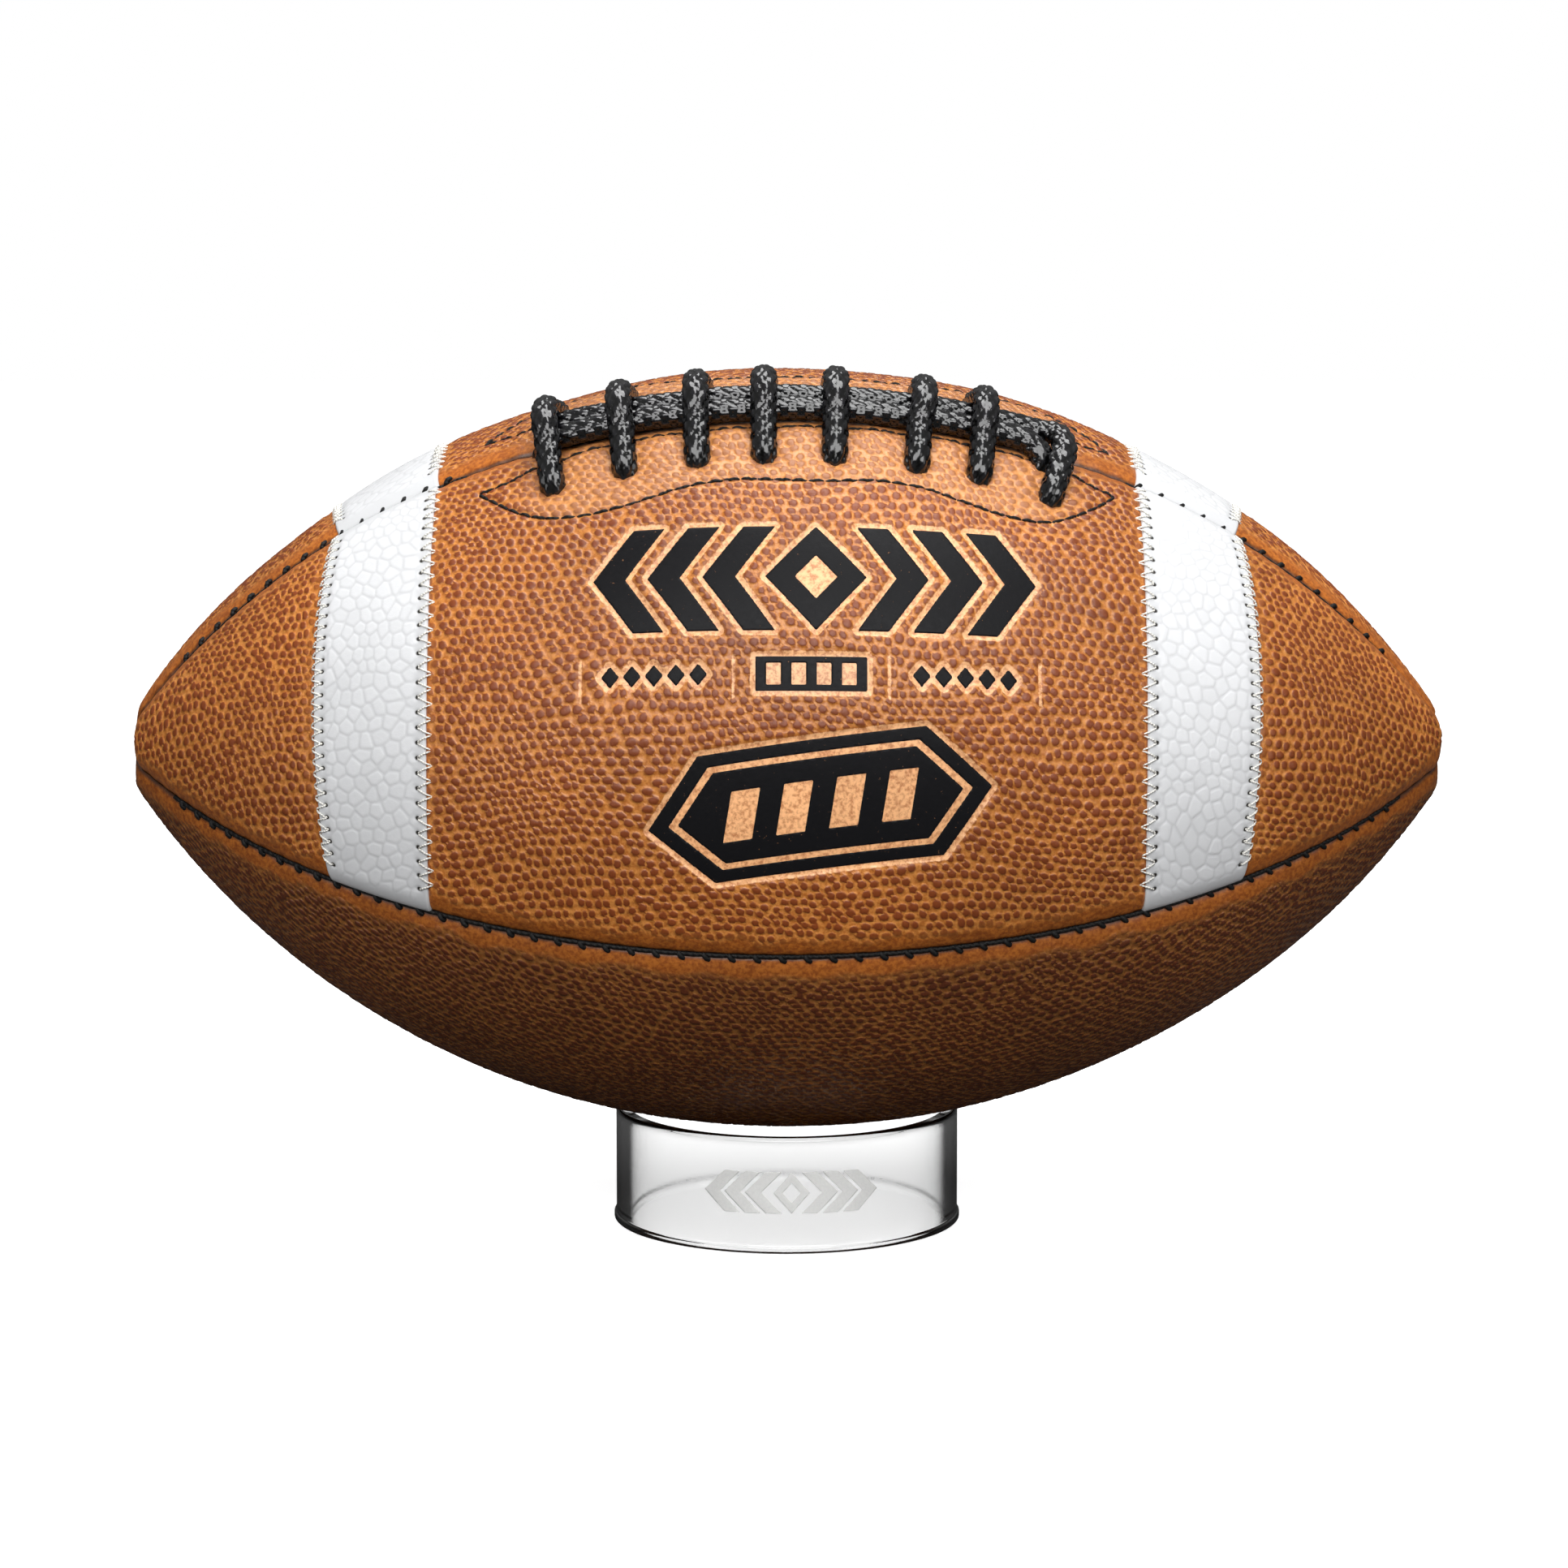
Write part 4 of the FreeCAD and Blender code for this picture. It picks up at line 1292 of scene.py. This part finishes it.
# pieces inside the ball keep their CAD shape and take a material each
def clothMaterial(name, colour, threadCount):
    material, tree, shader = newMaterial(name)
    where = place(tree)
    split = tree.nodes.new("ShaderNodeSeparateXYZ")
    tree.links.new(where, split.inputs[0])
    warp = calc(tree, "SINE", calc(tree, "MULTIPLY", split.outputs["X"], threadCount))
    weft = calc(tree, "SINE", calc(tree, "MULTIPLY", split.outputs["Z"], threadCount))
    weave = calc(tree, "ADD", calc(tree, "MULTIPLY", warp, weft), noise(tree, where, 1200.0))
    dark = tuple(0.6 * part for part in colour[:3]) + (1,)
    body = mixColour(tree, ramp(tree, weave, -0.5, 1.4), dark, colour)
    dress(tree, shader, body, 0.9, bump(tree, weave, 0.4, 0.0002))
    return material


def grainMaterial(name, colour, scale, rough, strength):
    # plain leather or rubber with its own grain and uneven tone
    material, tree, shader = newMaterial(name)
    grain = useGroup(tree, fineGrain, Scale=scale)
    tone = useGroup(tree, patchyTone, Scale=50.0, Spread=0.5).outputs["Tone"]
    dark = tuple(0.6 * part for part in colour[:3]) + (1,)
    pored = mixColour(tree, grain.outputs["Pores"], colour, dark)
    height = grain.outputs["Height"]
    dress(tree, shader, scaleColour(tree, pored, tone),
          ramp(tree, height, 0.4, 1.3, rough - 0.1, rough + 0.1), bump(tree, height, strength, 0.0002))
    return material


linings = ["front_lining", "top_lining", "rear_lining", "bottom_lining"]
backings = ["lace_facing_front", "lace_facing_top", "lace_tongue"]
valveParts = ["valve_housing", "valve_insert"]
for material, names in (
        (clothMaterial("liningCloth", (0.62, 0.56, 0.44, 1), 3600.0), linings),
        (grainMaterial("backingLeather", (0.34, 0.16, 0.07, 1), 700.0, 0.7, 0.5), backings),
        (grainMaterial("bladderRubber", (0.03, 0.028, 0.027, 1), 500.0, 0.5, 0.2), ["bladder"]),
        (grainMaterial("valveRubber", (0.06, 0.055, 0.05, 1), 900.0, 0.45, 0.2), valveParts)):
    for name in names:
        piece = bpy.data.objects[name]
        piece.data.materials.clear()
        piece.data.materials.append(material)


# white floor and soft studio light
studio = {
    "floor": 6.0,
    # name, power, size and place of each light, in metres
    "lights": [("key", 17.0, (1.3, 0.8), (0.03, -1.05, 0.86)),
               ("top", 11.5, (1.2, 0.5), (0.1, 0.05, 1.2)),
               ("fill", 2.0, (0.6, 0.6), (-1.05, -0.75, 0.28)),
               ("fill", 2.0, (0.6, 0.6), (1.05, -0.75, 0.28))],
    "distance": 1.107,
    "elevation": 7.75,
    "pitch": 8.168,
    "side": -0.00063,
    "lens": 114.9,
    "floorBounce": 0.05,
    "throughRing": 0.9,
    "floorGlow": 0.82,
    "skyAbove": 0.3,
    "skyBelow": 0.012,
}


def seenDirectly(tree):
    # what the camera sees straight, what it sees through the clear ring, and not the light on the ball
    path = tree.nodes.new("ShaderNodeLightPath")
    bounces = calc(tree, "ADD", path.outputs["Diffuse Depth"], path.outputs["Glossy Depth"])
    unbounced = calc(tree, "SUBTRACT", 1.0, calc(tree, "MINIMUM", bounces, 1.0))
    through = calc(tree, "MULTIPLY", path.outputs["Is Transmission Ray"], unbounced)
    return path.outputs["Is Camera Ray"], through


def makeFloor():
    half = studio["floor"] / 2
    low = -0.0005
    verts = np.array([(x, y, z) for z in (low - 0.01, low) for y in (-half, half) for x in (-half, half)])
    faces = [[0, 2, 3, 1], [4, 5, 7, 6], [0, 1, 5, 4], [2, 6, 7, 3], [0, 4, 6, 2], [1, 3, 7, 5]]
    floor = makeMesh("floor", verts / mm, faces, False)
    material, tree, shader = newMaterial("studioFloor")
    tone = useGroup(tree, patchyTone, Scale=3.0, Spread=0.02).outputs["Tone"]
    straight, through = seenDirectly(tree)
    seen = calc(tree, "MAXIMUM", straight, calc(tree, "MULTIPLY", through, studio["throughRing"]))
    level = calc(tree, "MULTIPLY", tone, ramp(tree, seen, 0, 1, studio["floorBounce"], 0.86))
    grey = tree.nodes.new("ShaderNodeCombineColor")
    for socket in grey.inputs[:3]:
        tree.links.new(level, socket)
    tree.links.new(grey.outputs[0], shader.inputs["Base Color"])
    shader.inputs["Roughness"].default_value = 0.7
    shader.inputs["Emission Color"].default_value = (1, 1, 1, 1)
    tree.links.new(calc(tree, "MULTIPLY", seen, studio["floorGlow"]), shader.inputs["Emission Strength"])
    floor.data.materials.append(material)


def areaLight(name, power, size, at):
    # aimed at the middle of the ball
    data = bpy.data.lights.new(name, "AREA")
    data.shape = "RECTANGLE"
    data.size, data.size_y = size
    data.energy = power
    lamp = bpy.data.objects.new(name, data)
    bpy.context.scene.collection.objects.link(lamp)
    lamp.location = at
    aim = Vector((0.0, 0.0, axisHeight * mm)) - Vector(at)
    lamp.rotation_euler = aim.to_track_quat("-Z", "Y").to_euler()


def makeWorld():
    world = bpy.data.worlds.new("studio")
    world.use_nodes = True
    tree = world.node_tree
    background = tree.nodes["Background"]
    toward = tree.nodes.new("ShaderNodeSeparateXYZ")
    tree.links.new(tree.nodes.new("ShaderNodeTexCoord").outputs["Generated"], toward.inputs[0])
    sky = ramp(tree, toward.outputs["Z"], -0.15, 0.6, studio["skyBelow"], studio["skyAbove"])
    backdrop = ramp(tree, toward.outputs["Y"], 0.45, 0.92, 0.04, 1.0)
    straight, through = seenDirectly(tree)
    lit = calc(tree, "MULTIPLY", sky, calc(tree, "SUBTRACT", 1.0, calc(tree, "MAXIMUM", straight, through)))
    strength = calc(tree, "ADD", calc(tree, "ADD", straight, calc(tree, "MULTIPLY", through, backdrop)), lit)
    tree.links.new(strength, background.inputs["Strength"])
    background.inputs["Color"].default_value = (1, 1, 1, 1)
    bpy.context.scene.world = world


def makeCamera():
    lift, pitch = math.radians(studio["elevation"]), math.radians(studio["pitch"])
    camera = bpy.data.objects.new("camera", bpy.data.cameras.new("camera"))
    camera.data.lens = studio["lens"]
    camera.data.sensor_width = 36.0
    camera.location = (studio["side"], -studio["distance"] * math.cos(lift),
                       axisHeight * mm + studio["distance"] * math.sin(lift))
    camera.rotation_euler = (quarter - pitch, 0, 0)
    bpy.context.scene.collection.objects.link(camera)
    bpy.context.scene.camera = camera


print("studio: floor, lights and camera")
makeFloor()
makeWorld()
for light in studio["lights"]:
    areaLight(*light)
makeCamera()
bpy.context.scene.view_settings.view_transform = "Standard"
